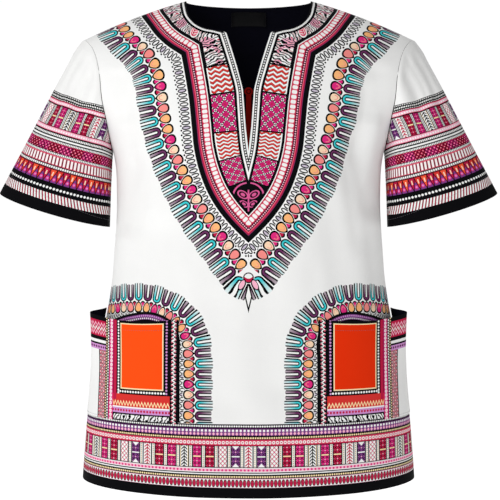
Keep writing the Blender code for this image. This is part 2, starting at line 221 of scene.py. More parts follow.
BACK_CREASES = (
    (0.096, -0.210, 0.134, -0.400, 0.012, 0.0032),
    (0.176, -0.150, 0.182, -0.290, 0.010, 0.0024),
    (-0.134, -0.240, -0.176, -0.420, 0.012, 0.0030),
    (-0.046, -0.300, -0.056, -0.500, 0.014, 0.0026),
    (0.024, -0.420, 0.034, -0.650, 0.016, 0.0020),
    (0.112, -0.480, 0.126, -0.700, 0.016, 0.0018),
    (-0.150, -0.450, -0.168, -0.690, 0.016, 0.0020),
)
SLEEVE_FOLDS = (
    (0.04, 0.62, 0.33, 0.44, 0.060, 0.0065),
    (0.08, 0.78, 0.18, 0.25, 0.055, 0.0045),
)
SLEEVE_CREASES = (
    (0.00, 0.50, 0.52, 0.60, 0.035, 0.0024),
    (0.02, 0.55, 0.26, 0.33, 0.028, 0.0022),
    (0.05, 0.60, 0.08, 0.14, 0.030, 0.0018),
    (0.30, 0.95, 0.66, 0.62, 0.040, 0.0018),
)

# Guide lines of the print on half a panel, in millimetres across from the middle and down from the shoulder line
YOKE_LINE = ((169.5, 20.0), (165.1, 43.0), (160.5, 76.0), (150.8, 106.9), (136.0, 136.6), (118.6, 156.4),
             (98.5, 171.5))
TONGUE_LINE = ((98.5, 171.5), (92.7, 202.2), (86.7, 239.1), (83.0, 275.7), (79.0, 312.1), (69.8, 348.4),
               (56.0, 380.3), (36.3, 409.3), (19.3, 428.1), (0.0, 446.8))
BACK_YOKE_LINE = ((169.5, 20.0), (163.0, 54.0), (143.0, 86.0), (108.0, 107.0), (60.0, 117.0), (0.0, 119.5))
FRINGE_LINE = ((215.0, 36.0), (205.7, 74.1), (187.4, 134.1), (172.9, 153.2), (156.0, 174.0), (144.5, 198.0),
               (139.5, 222.0), (136.5, 248.0), (129.5, 284.0), (121.5, 312.0), (105.5, 349.0), (79.5, 399.0),
               (52.0, 438.0), (26.0, 474.0), (9.0, 496.0), (0.0, 500.5))
BACK_FRINGE_LINE = ((215.0, 36.0), (205.0, 78.0), (178.0, 122.0), (132.0, 150.0), (70.0, 160.0), (0.0, 162.0))
ARCH_LINE = ((262.0, 569.0), (225.9, 563.5), (183.6, 553.0), (148.9, 549.1), (123.7, 555.7), (108.5, 567.0),
             (102.4, 584.0), (102.1, 615.3), (101.8, 660.0), (101.6, 715.0))
ARCH_FRINGE_LINE = ((262.0, 539.5), (225.0, 536.5), (183.6, 532.5), (148.9, 533.0), (121.0, 541.0), (98.0, 556.0),
                    (83.0, 580.0), (78.5, 612.0), (78.0, 655.0), (78.0, 715.0))
SLIT_LINE = ((32.5, 136.1), (26.0, 158.6), (17.0, 189.2), (8.2, 223.2), (6.2, 249.2), (4.0, 279.2), (0.0, 314.2),
             (-5.5, 338.0), (-14.0, 372.0))
NECK_LINE = ((95.8, 8.0), (95.7, 31.3), (93.6, 66.6), (87.0, 100.4), (78.4, 114.6), (65.1, 124.8), (48.5, 129.7),
             (32.5, 136.1))
BACK_NECK_LINE = tuple((96.0 * math.cos(a), 60.0 * math.sin(a) - 12.4 * math.sin(a) ** 2)
                       for a in np.linspace(0.0, math.pi / 2, 9))


class ShirtCloth(bpy.types.PropertyGroup):
    wall: FloatProperty(name="Cloth thickness", description="Thickness of a single cloth", default=0.0009,
                        min=0.0003, max=0.002, unit="LENGTH")
    hem_wall: FloatProperty(name="Hem thickness", description="Thickness where the cloth is turned up and sewn",
                            default=0.0019, min=0.0003, max=0.004, unit="LENGTH")
    hem_turn: FloatProperty(name="Hem depth", description="Depth of the turned hem", default=0.024, unit="LENGTH")
    cuff_turn: FloatProperty(name="Cuff depth", description="Depth of the turned cuff", default=0.017, unit="LENGTH")
    step: FloatProperty(name="Mesh step", description="Size of the faces of the cloth", default=0.0055,
                        unit="LENGTH")
    stitch: FloatProperty(name="Stitch length", description="Length of one stitch", default=0.0026, unit="LENGTH")
    stitch_pitch: FloatProperty(name="Stitch pitch", description="From one stitch to the next", default=0.0036,
                                unit="LENGTH")
    thread: FloatProperty(name="Thread thickness", description="Thickness of the sewing thread", default=0.0005,
                          unit="LENGTH")


def shade(name, what, colour):
    return FloatVectorProperty(name=name, description=what, default=colour, size=3, min=0.0, max=1.0, subtype="COLOR")


class ShirtColours(bpy.types.PropertyGroup):
    white: shade("White", "Ground of the cotton", (0.86, 0.86, 0.85))
    black: shade("Black", "Outlines and hems", (0.0022, 0.0022, 0.0032))
    inside: shade("Inside", "Inner face of the cloth", (0.0055, 0.0055, 0.014))
    crimson: shade("Crimson", "Boxes and narrow bands", (0.50, 0.012, 0.060))
    magenta: shade("Magenta", "Boxes and lattices", (0.70, 0.024, 0.20))
    rose: shade("Rose", "Lines and ladders", (0.74, 0.11, 0.18))
    pink: shade("Pink", "Pale bands", (0.88, 0.45, 0.58))
    red: shade("Red", "Waves and triangles", (0.66, 0.035, 0.030))
    vermilion: shade("Vermilion", "Triangles on the sleeves", (0.83, 0.085, 0.035))
    orange: shade("Orange", "Pocket on the wearer's right", (1.0, 0.078, 0.006))
    orange_deep: shade("Deep orange", "Pocket on the wearer's left", (0.76, 0.030, 0.002))
    peach: shade("Peach", "Petals", (0.92, 0.47, 0.19))
    salmon: shade("Salmon", "Petals", (0.86, 0.26, 0.24))
    turquoise: shade("Turquoise", "Every other hook", (0.05, 0.56, 0.60))
    plum: shade("Plum", "Every other hook", (0.135, 0.030, 0.105))
    purple: shade("Purple", "Beaded bands", (0.20, 0.045, 0.22))
    lilac: shade("Lilac", "Beads and pale bands", (0.60, 0.28, 0.60))
    cream: shade("Cream", "Beads and outlines", (0.93, 0.74, 0.42))
    stripe: shade("Stripe", "Stripe inside the back", (0.95, 0.024, 0.018))
    orchid: shade("Orchid", "Spray at the foot of the panel", (0.64, 0.10, 0.28))
    blush: shade("Blush", "Pale buds", (0.90, 0.66, 0.46))
    ash: shade("Ash", "Hearts of the ovals", (0.56, 0.50, 0.60))


class ShirtStage(bpy.types.PropertyGroup):
    floor: FloatProperty(name="Floor height", description="Height of the floor", default=-1.15, unit="LENGTH")
    sky: FloatProperty(name="Ambient light", description="Strength of the even light", default=0.36)
    key: FloatProperty(name="Main light", description="Power of the light from the left", default=40.0, unit="POWER")


def smoothstep(share):
    share = np.clip(share, 0.0, 1.0)
    return share * share * (3.0 - 2.0 * share)


def smooth_table(rows, at):
    """The other columns of a table at values of its first column, on a smooth curve through the rows."""
    rows = np.array(rows, float)
    rows = rows[np.argsort(rows[:, 0])]
    slopes = np.gradient(rows[:, 1:], rows[:, 0], axis=0)
    place = np.clip(np.asarray(at, float), rows[0, 0], rows[-1, 0])
    i = np.clip(np.searchsorted(rows[:, 0], place) - 1, 0, len(rows) - 2)
    step = (rows[i + 1, 0] - rows[i, 0])[..., None]
    s = (place - rows[i, 0])[..., None] / step
    return (
        (2 * s**3 - 3 * s**2 + 1) * rows[i, 1:]
        + (s**3 - 2 * s**2 + s) * step * slopes[i]
        + (3 * s**2 - 2 * s**3) * rows[i + 1, 1:]
        + (s**3 - s**2) * step * slopes[i + 1]
    )


def unit(vectors):
    return vectors / np.maximum(np.linalg.norm(vectors, axis=-1, keepdims=True), 1e-12)


def lengths(points):
    """Distance along a line of points to each of them."""
    return np.concatenate([[0.0], np.cumsum(np.linalg.norm(np.diff(points, axis=0), axis=-1))])


def smooth_line(points, count):
    """A smooth curve through points, as evenly spaced points."""
    points = np.array(points, float)
    along = lengths(points)
    fine = smooth_table(np.column_stack([along, points]), np.linspace(0, along[-1], 12 * count))
    where = lengths(fine)
    even = np.linspace(0, where[-1], count)
    return np.column_stack([np.interp(even, where, fine[:, k]) for k in range(fine.shape[1])])


def ridge(x):
    out = np.abs(x) - NECK_HALF
    fall = -(SHOULDER_SLOPE * out + SHOULDER_DROOP * out * out)
    return np.where(out >= 0, fall, SHOULDER_SLOPE * NECK_HALF / 2 * (1 - (x / NECK_HALF) ** 2))


def level(run):
    turned = np.minimum(run / SHOULDER_ROUND, math.pi / 2)
    below = np.maximum(0.0, run - SHOULDER_ROUND * math.pi / 2)
    return -SHOULDER_ROUND * (1 - np.cos(turned)) - below, np.sin(turned)


def height(x, run):
    return level(run)[0] + ridge(x) * (1 - smoothstep(run / SLOPE_FADE))


def run_at(x, z):
    """The run of the places at these distances from the middle and heights."""
    low, high = np.zeros(np.shape(x)), np.ones(np.shape(x))
    for _ in range(50):
        middle = (low + high) / 2
        above = height(x, middle) > z
        low, high = np.where(above, middle, low), np.where(above, high, middle)
    return (low + high) / 2


def turn_at(x, run):
    half_width = smooth_table(SECTIONS, level(run)[0])[..., 0]
    return np.arcsin(np.minimum(1.0, x / half_width))


def bare_point(facing, turn, run):
    """Places on the body before its folds. facing is -1 on the front and 1 on the back."""
    turn, run = np.broadcast_arrays(np.asarray(turn, float), np.asarray(run, float))
    row, fullness = level(run)
    half_width, front, back = np.moveaxis(smooth_table(SECTIONS, row), -1, 0)
    depth = front if facing < 0 else back
    x = half_width * np.sin(turn)
    y = depth * np.cos(turn) * (1 + SQUARENESS * np.sin(turn) ** 2) * fullness
    return np.stack([x, facing * (y + SEAM_GAP / 2), height(x, run)], axis=-1)


def outward(facing, turn, run):
    step = 1e-4
    across = bare_point(facing, turn + step, run) - bare_point(facing, turn - step, run)
    down = bare_point(facing, turn, run + step) - bare_point(facing, turn, np.maximum(run - step, 0.0))
    return unit(np.cross(across, down) * facing)


def fold_profile(share, beside, depth):
    """The depth of a fold that fades out at both ends and to both sides."""
    return depth * smoothstep(share / FOLD_TAPER) * smoothstep((1 - share) / FOLD_TAPER) * np.exp(-beside**2)


def fold_depth(folds, x, z):
    total = np.zeros(np.shape(x))
    for top_x, top_z, foot_x, foot_z, half_width, depth in folds:
        ax, az = foot_x - top_x, foot_z - top_z
        share = ((x - top_x) * ax + (z - top_z) * az) / (ax * ax + az * az)
        beside = np.hypot(x - top_x - share * ax, z - top_z - share * az) / half_width
        total += fold_profile(share, beside, depth)
    return total


def body_point(facing, turn, run):
    """Places on the body with its folds and creases, and with the hem longer in the middle."""
    low = (np.maximum(0.0, run - UNDERARM_RUN) / (HEM_RUN - UNDERARM_RUN)) ** 3
    run = run + HEM_DIP * np.cos(turn) ** 2 * low
    point = bare_point(facing, turn, run)
    folds = FRONT_FOLDS + FRONT_CREASES if facing < 0 else BACK_FOLDS + BACK_CREASES
    from_seam = smoothstep((math.pi / 2 - np.abs(turn)) / FOLD_CLEAR)
    ripple = 0.0011 * low * np.sin(31.0 * point[..., 0] + 1.3 * facing) * np.sin(17.0 * point[..., 0] - 0.6)
    depth = (fold_depth(folds, point[..., 0], point[..., 2]) + ripple) * from_seam
    return point - outward(facing, turn, run) * depth[..., None]


SLIT_CURVE = np.array([(x, run_at(x, z)) for x, z in SLIT_EDGE])
NECK_CURVE = smooth_line([(x, run_at(x, z)) for x, z in NECK_EDGE], 40)
SLIT_RUN = float(SLIT_CURVE[0, 1])
POCKET_RUNS = run_at(POCKET_MIDDLE, POCKET_HEM), run_at(POCKET_MIDDLE, POCKET_MOUTH)


def neck_edge_x(facing, run):
    """Distance from the middle to the panel's inner edge: the slit, the neck edge, or the middle itself."""
    if facing > 0:
        return NECK_HALF * np.sqrt(np.maximum(0.0, 1 - (run / BACK_NECK_RUN) ** 2))
    edge = np.concatenate([SLIT_CURVE[:-1], NECK_CURVE])
    return np.interp(-run, -edge[:, 1], edge[:, 0]) * (run < SLIT_RUN)


def outer_turn(facing, run):
    """Angle of the panel's outer edge: the side seam, or the armhole above the underarm."""
    run = np.asarray(run, float)
    side = smooth_table(SECTIONS, level(np.array(UNDERARM_RUN))[0])[0]
    x = smooth_table(ARMHOLE + ((UNDERARM_RUN, side, side),), run)[..., 0 if facing < 0 else 1]
    return np.where(run >= UNDERARM_RUN - 1e-9, math.pi / 2, turn_at(x, run))


def armhole_runs():
    """Runs from the underarm to the shoulder, closer where the armhole turns under the arm."""
    return UNDERARM_RUN * (1 - np.linspace(0, 1, 74) ** 1.5)


def armhole_ring():
    """Sides, angles and runs of the places round the armhole, from the underarm up the front and down the back."""
    up = armhole_runs()
    run = np.concatenate([up, up[-2:0:-1], up[:1]])
    facing = np.concatenate([-np.ones(len(up)), np.ones(len(up) - 2), -np.ones(1)])
    return facing, np.where(facing < 0, outer_turn(-1, run), outer_turn(1, run)), run


def panel_runs(facing, step):
    """Runs of the rows of a body panel, from the hem to the shoulder."""
    border = HEM_RUN - BORDER_RISE
    lower = np.concatenate([np.linspace(HEM_RUN, border, round(BORDER_RISE / step) + 1)[:-1],
                            np.linspace(border, UNDERARM_RUN, round((border - UNDERARM_RUN) / step) + 1)])
    even = armhole_runs()[1:]
    corners = NECK_CURVE[:-1, 1] if facing < 0 else BACK_NECK_RUN * np.sin(np.linspace(0, math.pi / 2, 32)[1:])
    if facing < 0:
        corners = np.append(corners, SLIT_RUN)
    clear = [run for run in even if np.min(np.abs(run - corners)) > 0.0018]
    return np.array(sorted([*lower, *clear, *corners], reverse=True))


def sleeve_section(share):
    rows = [(i / (len(SLEEVE) - 1), *row) for i, row in enumerate(SLEEVE)]
    top_x, top_z, low_x, low_z, depth = np.moveaxis(smooth_table(rows, share), -1, 0)
    flat = np.zeros_like(top_x)
    return np.stack([top_x, flat, top_z], -1), np.stack([low_x, flat, low_z], -1), depth


def ellipse(section, angle, facing):
    top, low, depth = section
    half = (top - low) / 2
    cos, sin = np.cos(angle)[..., None], np.sin(angle)[..., None] * facing[..., None]
    depth = depth[..., None]
    side = np.array([0.0, 1.0, 0.0])
    place = (top + low) / 2 + half * cos + side * depth * sin
    out = half / np.sum(half**2, -1, keepdims=True) * cos + side * sin / depth
    return place, unit(out)


def loop_angle(facing, turn, run):
    top, low, _ = sleeve_section(np.array(0.0))
    half = (top - low) / 2
    place = np.where(facing[..., None] < 0, bare_point(-1, turn, run), bare_point(1, turn, run))
    share = (place - (top + low) / 2) @ half / (half @ half)
    return np.arccos(np.clip(share, -1.0, 1.0)), place


def sleeve_place(facing, turn, run, share):
    """Places and outward directions on the +X sleeve, out from places of the armhole."""
    angle, edge = loop_angle(facing, turn, run)
    first = sleeve_section(np.zeros_like(run))
    start, start_out = ellipse(first, angle, facing)
    place, out = ellipse(sleeve_section(share), angle, facing)
    gap = ARMHOLE_GAP + (UNDERARM_GAP - ARMHOLE_GAP) * smoothstep(2 * run / UNDERARM_RUN - 1)
    edge = edge + gap[..., None] * np.array([1.0, 0.0, 0.0])
    body_out = np.where(facing[..., None] < 0, outward(-1, turn, run), outward(1, turn, run))
    seam_out = body_out + start_out
    ends = (run < 1e-9) | (run > UNDERARM_RUN - 1e-9)
    seam_out[..., 1] = np.where(ends, 0.0, seam_out[..., 1])
    own = (1 - smoothstep(share / LOOP_FADE))[..., None]
    out = unit(out * (1 - own) + unit(seam_out) * own)
    axis = unit(sleeve_section(np.array(1.0))[0] - sleeve_section(np.array(0.0))[0])
    place = place + (edge - start) * own + axis * (CUFF_DIP * np.sin(angle) * share**2)[..., None]
    total = np.zeros_like(share)
    for from_along, to_along, from_round, to_round, half_width, depth in SLEEVE_FOLDS + SLEEVE_CREASES:
        s = (share - from_along) / (to_along - from_along)
        beside = (angle / math.pi - from_round - (to_round - from_round) * s) / half_width
        total += fold_profile(s, beside, depth)
    return place - out * total[..., None], out


def guide(points, u, w):
    """For places on the cloth, how far along a guide line they lie and how far from it, to its inner side. The line
    runs on straight past both ends."""
    line = smooth_line(points, 260)
    first, last = unit(line[0] - line[1]), unit(line[-1] - line[-2])
    line = np.concatenate([[line[0] + first * RUN_ON], line, [line[-1] + last * RUN_ON]])
    start, run = line[:-1], np.diff(line, axis=0)
    size = np.linalg.norm(run, axis=-1)
    along = np.concatenate([[-RUN_ON], np.cumsum(size)[:-1] - RUN_ON])
    place = np.stack([u, w], -1).reshape(-1, 1, 2)
    share = np.clip(np.sum((place - start) * run, -1) / size**2, 0, 1)
    off = place - (start + run * share[..., None])
    distance = np.linalg.norm(off, axis=-1)
    best = np.argmin(distance, -1)
    pick = np.arange(len(best))
    side = run[best, 0] * off[pick, best, 1] - run[best, 1] * off[pick, best, 0]
    s = along[best] + share[pick, best] * size[best]
    total = lengths(line[1:-1])[-1]
    return (total - s).reshape(u.shape), (np.sign(side) * distance[pick, best]).reshape(u.shape)


def seen_along(s, d, places):
    """The distances along a guide line, stretched so that even steps still look even from the front where the shoulder
    slopes away."""
    close = np.abs(d) < 8.0
    if not close.any():
        return s
    numbers = np.round(s[close] / PACE).astype(int)
    kept = np.unique(numbers)
    line = np.array([places[close][numbers == number].mean(axis=0) for number in kept])
    along = lengths(line * np.array([1000.0, 450.0, 1000.0]))
    at = np.concatenate([[kept[0] * PACE - RUN_ON], kept * PACE, [kept[-1] * PACE + RUN_ON]])
    along = np.concatenate([[along[0] - RUN_ON], along, [along[-1] + RUN_ON]])
    return np.interp(s, at, along) - np.interp(0.0, at, along)


def deselect():
    for obj in bpy.context.selected_objects:
        obj.select_set(False)


def select(*objects):
    """Selects these objects alone, with the first one active."""
    deselect()
    for obj in objects:
        obj.select_set(True)
    bpy.context.view_layer.objects.active = objects[0]


def cloth_grid(name, places, fields):
    """A sheet from the Grid primitive, with its corners pulled to a table of places and the cloth's own measures kept
    as attributes."""
    rows, columns = places.shape[:2]
    deselect()
    bpy.ops.mesh.primitive_grid_add(x_subdivisions=columns - 1, y_subdivisions=rows - 1, size=2.0)
    obj = bpy.context.object
    obj.name = obj.data.name = name
    flat = np.empty(3 * rows * columns)
    obj.data.vertices.foreach_get("co", flat)
    flat = flat.reshape(-1, 3)
    i = np.rint((flat[:, 0] + 1) / 2 * (columns - 1)).astype(int)
    j = np.rint((flat[:, 1] + 1) / 2 * (rows - 1)).astype(int)
    obj.data.vertices.foreach_set("co", places[j, i].ravel())
    for layer in list(obj.data.uv_layers):
        obj.data.uv_layers.remove(layer)
    for key, values in fields.items():
        layer = obj.data.attributes.new(key, "FLOAT_VECTOR", "POINT")
        layer.data.foreach_set("vector", np.asarray(values, float)[j, i].ravel())
    return obj


def joined(objects, outside):
    """One sheet from its parts, merged where they meet, with its faces turned to the side where outside() is
    positive."""
    select(*objects)
    if len(objects) > 1:
        bpy.ops.object.join()
    obj = bpy.context.object
    bpy.ops.object.mode_set(mode="EDIT")
    bpy.ops.mesh.select_all(action="SELECT")
    bpy.ops.mesh.remove_doubles(threshold=2e-5)
    bpy.ops.mesh.normals_make_consistent(inside=False)
    bpy.ops.object.mode_set(mode="OBJECT")
    normals = np.array([face.normal for face in obj.data.polygons])
    centres = np.array([face.center for face in obj.data.polygons])
    if np.mean(np.sum(normals * outside(centres), -1)) < 0:
        bpy.ops.object.mode_set(mode="EDIT")
        bpy.ops.mesh.select_all(action="SELECT")
        bpy.ops.mesh.flip_normals()
        bpy.ops.object.mode_set(mode="OBJECT")
    return obj


def attribute(obj, key):
    values = np.empty(3 * len(obj.data.vertices))
    obj.data.attributes[key].data.foreach_get("vector", values)
    return values.reshape(-1, 3)


def face_means(obj, values):
    """The mean over the corners of each face of values at the vertices."""
    corners = np.empty(len(obj.data.loops), int)
    obj.data.loops.foreach_get("vertex_index", corners)
    totals = np.empty(len(obj.data.polygons), int)
    starts = np.empty(len(obj.data.polygons), int)
    obj.data.polygons.foreach_get("loop_total", totals)
    obj.data.polygons.foreach_get("loop_start", starts)
    return np.add.reduceat(values[corners], starts) / totals


def give_wall(obj, thickness, thick, double, materials, chosen):
    """Gives a sheet its materials face by face, the last of them on its inner side, then its thickness inwards.
    double is 1 at the vertices where the cloth is turned up."""
    for material in materials:
        obj.data.materials.append(material)
    obj.data.polygons.foreach_set("material_index", chosen.astype(np.int32))
    group = obj.vertex_groups.new(name="turned")
    for weight in (thickness / thick, 1.0):
        these = np.nonzero(double if weight == 1.0 else ~double)[0]
        group.add([int(n) for n in these], weight, "REPLACE")
    select(obj)
    wall = obj.modifiers.new("Wall", "SOLIDIFY")
    wall.thickness = thick
    wall.offset = -1.0
    wall.vertex_group = "turned"
    wall.use_rim = True
    wall.material_offset = len(materials)
    bpy.ops.object.modifier_apply(modifier="Wall")
    obj.vertex_groups.clear()
    bpy.ops.object.shade_smooth_by_angle(angle=math.radians(50))
    return obj


def panel_fields(facing, turn, run, place):
    """The cloth's measures on a body panel, in millimetres: across, down and above the hem, and for each guide line
    how far along and how far from it."""
    turns = np.linspace(0, math.pi / 2, 241)
    base = bare_point(facing, turns[None, :], run[:, :1])
    steps = np.hypot(np.diff(base[..., 0], axis=1), np.diff(base[..., 1], axis=1))
    reach = np.concatenate([np.zeros((len(run), 1)), np.cumsum(steps, axis=1)], axis=1) * 1000
    u = np.stack([np.interp(turn[j], turns, reach[j]) for j in range(len(run))])
    x = bare_point(facing, turn, run)[..., 0]
    w = (run - ridge(x) * (1 - smoothstep(run / SLOPE_FADE))) * 1000
    front = facing < 0
    yoke, neck, fringe = (guide(line if front else back_line, u, w) for line, back_line in (
        (YOKE_LINE, BACK_YOKE_LINE), (NECK_LINE, BACK_NECK_LINE), (FRINGE_LINE, BACK_FRINGE_LINE)))
    far = (np.zeros_like(u), np.full_like(u, NO_LINE))
    tongue, slit, arch, arch_fringe = (
        guide(line, u, w) if front else far for line in (TONGUE_LINE, SLIT_LINE, ARCH_LINE, ARCH_FRINGE_LINE))
    down_tongue = lengths(np.array(TONGUE_LINE))[-1] - tongue[0]
    yoke, neck, fringe = ((seen_along(*line, place), line[1]) for line in (yoke, neck, fringe))
    fields = {
        "cloth": (u, w, HEM_RUN * 1000 - w),
        "yoke": (yoke[0], yoke[1], -neck[1]),
        "tongue": (tongue[0], tongue[1], -slit[1]),
        "edge": (neck[0], slit[0], down_tongue),
        "fringe": (fringe[0], -fringe[1], 0 * u),
        "arch": (arch[0], arch[1], 0 * u),
        "archfringe": (arch_fringe[0], arch_fringe[1], 0 * u),
    }
    return {key: np.stack(np.broadcast_arrays(*value), -1) for key, value in fields.items()}


def node(tree, kind, settings, values, out=0):
    """Any node: its kind, its settings, and the values or links of its sockets."""
    made = tree.nodes.new(kind)
    for name, value in settings.items():
        if name == "stops":
            ramp = made.color_ramp
            ramp.interpolation = "CONSTANT"
            for _ in range(len(value) - 2):
                ramp.elements.new(0.5)
            for element, (place, colour) in zip(ramp.elements, sorted(value, key=lambda stop: stop[0])):
                element.position = place
                element.color = (*colour, 1.0)
        else:
            setattr(made, name, value)
    for key, value in values.items():
        if isinstance(value, Wire):
            tree.links.new(value.socket, made.inputs[key])
        else:
            made.inputs[key].default_value = value
    return Wire(tree, made.outputs[out])


class Wire:
    """One value of a material that varies over the surface, with Python's operators drawn as its nodes."""

    def __init__(self, tree, socket):
        self.tree = tree
        self.socket = socket

    def math(self, operation, *others):
        return node(self.tree, "ShaderNodeMath", {"operation": operation}, dict(enumerate((self, *others))))

    def __add__(self, other):
        return self.math("ADD", other)

    __radd__ = __add__

    def __sub__(self, other):
        return self.math("SUBTRACT", other)

    def __rsub__(self, other):
        return node(self.tree, "ShaderNodeMath", {"operation": "SUBTRACT"}, {0: other, 1: self})

    def __mul__(self, other):
        return self.math("MULTIPLY", other)

    __rmul__ = __mul__

    def __truediv__(self, other):
        return self.math("DIVIDE", other)

    def __gt__(self, other):
        return self.math("GREATER_THAN", other)

    def __lt__(self, other):
        return self.math("LESS_THAN", other)

    def __abs__(self):
        return self.math("ABSOLUTE")

    def within(self, low, high):
        """1 between two numbers, and 0 outside them."""
        return abs(self - (low + high) / 2) < (high - low) / 2

    def wrapped(self, pitch):
        """The value's distance from the nearest multiple of the pitch."""
        return self.math("WRAP", pitch / 2, -pitch / 2)

    def number(self, pitch):
        """Which multiple of the pitch is nearest."""
        return (self * (1 / pitch)).math("ROUND")

    def turn(self, count):
        """For a whole number, its place in a cycle of this many."""
        return self.math("FLOORED_MODULO", float(count))

    def from_point(self, other):
        """The length of the vector from the origin to (self, other)."""
        return (self * self + other * other).math("SQRT")


class Print:
    """The colours of one printed cloth, laid over each other from the ground up."""

    def __init__(self, tree, colours, ground):
        self.tree = tree
        self.dye = colours
        self.colour = (*getattr(colours, ground), 1.0)

    def field(self, key):
        """The three measures kept in an attribute of the cloth."""
        made = self.tree.nodes.new("ShaderNodeAttribute")
        made.attribute_name = key
        split = self.tree.nodes.new("ShaderNodeSeparateXYZ")
        self.tree.links.new(made.outputs["Vector"], split.inputs[0])
        return [Wire(self.tree, output) for output in split.outputs]

    def noise(self, scale, detail=2.0, key="cloth"):
        """A soft random value from 0 to 1 over the cloth."""
        place = node(self.tree, "ShaderNodeAttribute", {"attribute_name": key}, {}, out=1)
        return node(self.tree, "ShaderNodeTexNoise", {}, {"Vector": place, "Scale": scale, "Detail": detail})

    def mixed(self, mask, first, second):
        colours = [getattr(self.dye, x) if isinstance(x, str) else x for x in (first, second)]
        colours = [x if isinstance(x, Wire) else (*x[:3], 1.0) for x in colours]
        values = {0: mask, 6: colours[0], 7: colours[1]}
        return node(self.tree, "ShaderNodeMix", {"data_type": "RGBA"}, values, out=2)

    def lay(self, mask, colour):
        """Puts a colour where the mask is 1."""
        self.colour = self.mixed(mask, self.colour, colour)

    def stripes(self, distance, width, stops):
        """Plain bands by distance from an edge, up to a width. Each stop is where a band starts, and its colour."""
        stops = [(start / width, getattr(self.dye, colour)) for start, colour in stops]
        return node(self.tree, "ShaderNodeValToRGB", {"stops": stops}, {0: distance * (1 / width)})


def beads(ink, s, h, pitch, radius, colour, shift=0.0, row=None):
    """A row of round beads along s, on the line where h is 0."""
    mask = (s + shift).wrapped(pitch).from_point(h) < radius
    ink.lay(mask if row is None else mask * row, colour)


def layers(ink, distance, stack, area=None):
    """Colours over each other, each where a distance is under its reach, and within an area if one is given."""
    for reach, colour in stack:
        mask = distance < reach
        ink.lay(mask if area is None else area * mask, colour)


def crossing(x, y, pitch):
    """Distances to the two sets of slanting lines of a lattice."""
    return abs((x + y).wrapped(pitch)), abs((x - y).wrapped(pitch))


def hooks(ink, s, d, pitch, length):
    """A row of U-shaped hooks that open outwards, turquoise and plum by turns. The first two lie side by side at the
    middle."""
    s = s - pitch / 2
    x, plum = s.wrapped(pitch), s.number(pitch).turn(2)
    q = x.from_point((d - pitch * 0.46).math("MINIMUM", 0.0)) * (16.4 / pitch)
    ends = d < (length - 0.45 * abs(q - 4.2) - 2.0 * plum)
    near = ends * (d > -1.0)
    ink.lay(near * (q < 7.7), "black")
    fade = (d * (1.3 / length) - 0.42).math("MAXIMUM", 0.0).math("MINIMUM", 0.85)
    body = ink.mixed(plum, "turquoise", "plum")
    ink.lay(near * q.within(3.1, 5.7), ink.mixed(fade * (1 - 0.45 * plum), body, "white"))
    ink.lay(near * (q < 1.35), "white")


def petals(ink, s, d, pitch, length, first=0.0):
    """A row of buds with their points outwards, peach, salmon and crimson by turns, on short stems, with a smaller bud
    between each two, from some distance off the middle."""
    early = (abs(s) < first) * 60.0
    bud = (s.wrapped(pitch) * 0.9).from_point((d + length * 0.30) * 0.75) + early
    layers(ink, bud, ((pitch * 0.27, "black"),
                      (pitch * 0.155, ink.mixed(s.number(pitch).turn(2), "magenta", "crimson"))))
    s = s - pitch / 2
    x, number = s.wrapped(pitch), s.number(pitch)
    y = (d + length * 0.54) * (1 / (length * 0.50))
    q = (x * (1 / (pitch * 0.435)) / (1.0 - 0.36 * y)).from_point(y) + early
    kind = number.turn(5)
    warm = ink.mixed(kind < 1.5, ink.mixed(kind > 3.5, "salmon", "magenta"), "peach")
    warm = ink.mixed(abs(kind - 3.0) < 0.5, warm, "blush")
    layers(ink, q, ((1.13, "white"), (1.03, "black"), (0.75, warm)))
    ink.lay(q.within(0.36, 0.50) * (y > -0.1), "salmon")
    ink.lay((abs(x) + early < 1.0) * d.within(-length * 0.14, 1.5), "black")


def loops(ink, s, o, pitch, length):
    """A row of narrow ovals across the way, outlined in black, with dark points past their ends."""
    x = s.wrapped(pitch)
    y = (o - length / 2) * (1 / (length / 2))
    ink.lay((x * (1 / (pitch * 0.47))).from_point(y) < 1.0, "black")
    inner = ink.mixed(s.number(pitch).turn(4) < 0.5, "white", "ash")
    ink.lay((x * (1 / (pitch * 0.21))).from_point(y * 1.35) < 1.0, inner)
    beads(ink, s, o - (length + pitch * 0.16), pitch, pitch * 0.20, "black", pitch / 2)


def scribble(ink, inside, s, d, pitch):
    """Curling strokes on a black column, as drawn with a brush."""
    wave = ink.noise(0.07, 1.0) * 15.0 + ink.noise(0.2, 1.0) * 3.0
    curl = (s * 0.92 - d * 0.22 + wave).wrapped(pitch)
    fill = inside * (d > 1.6)
    ink.lay(fill * (abs(curl) < pitch * 0.27), ink.mixed(ink.noise(0.05, 1.0) > 0.54, "white", "pink"))
    ink.lay(fill * (abs(curl) < pitch * 0.08) * (ink.noise(0.06, 1.0) > 0.5), "crimson")


def lozenges(ink, inside, x, y, pitch, first, second, line="black", dot="white"):
    """A lattice of lozenges outlined in black, with smaller ones inside them and dots where the outlines cross."""
    a, b = crossing(x, y, pitch)
    rim = a.math("MAXIMUM", b)
    ink.lay(inside, line)
    ink.lay(inside * (rim < pitch * 0.385), first)
    ink.lay(inside * rim.within(pitch * 0.22, pitch * 0.26), line)
    ink.lay(inside * (rim < pitch * 0.14), second)
    along = a.math("MINIMUM", b).wrapped(pitch / 3)
    ink.lay(inside * (along.from_point(rim - pitch * 0.49) < pitch * 0.075), dot)


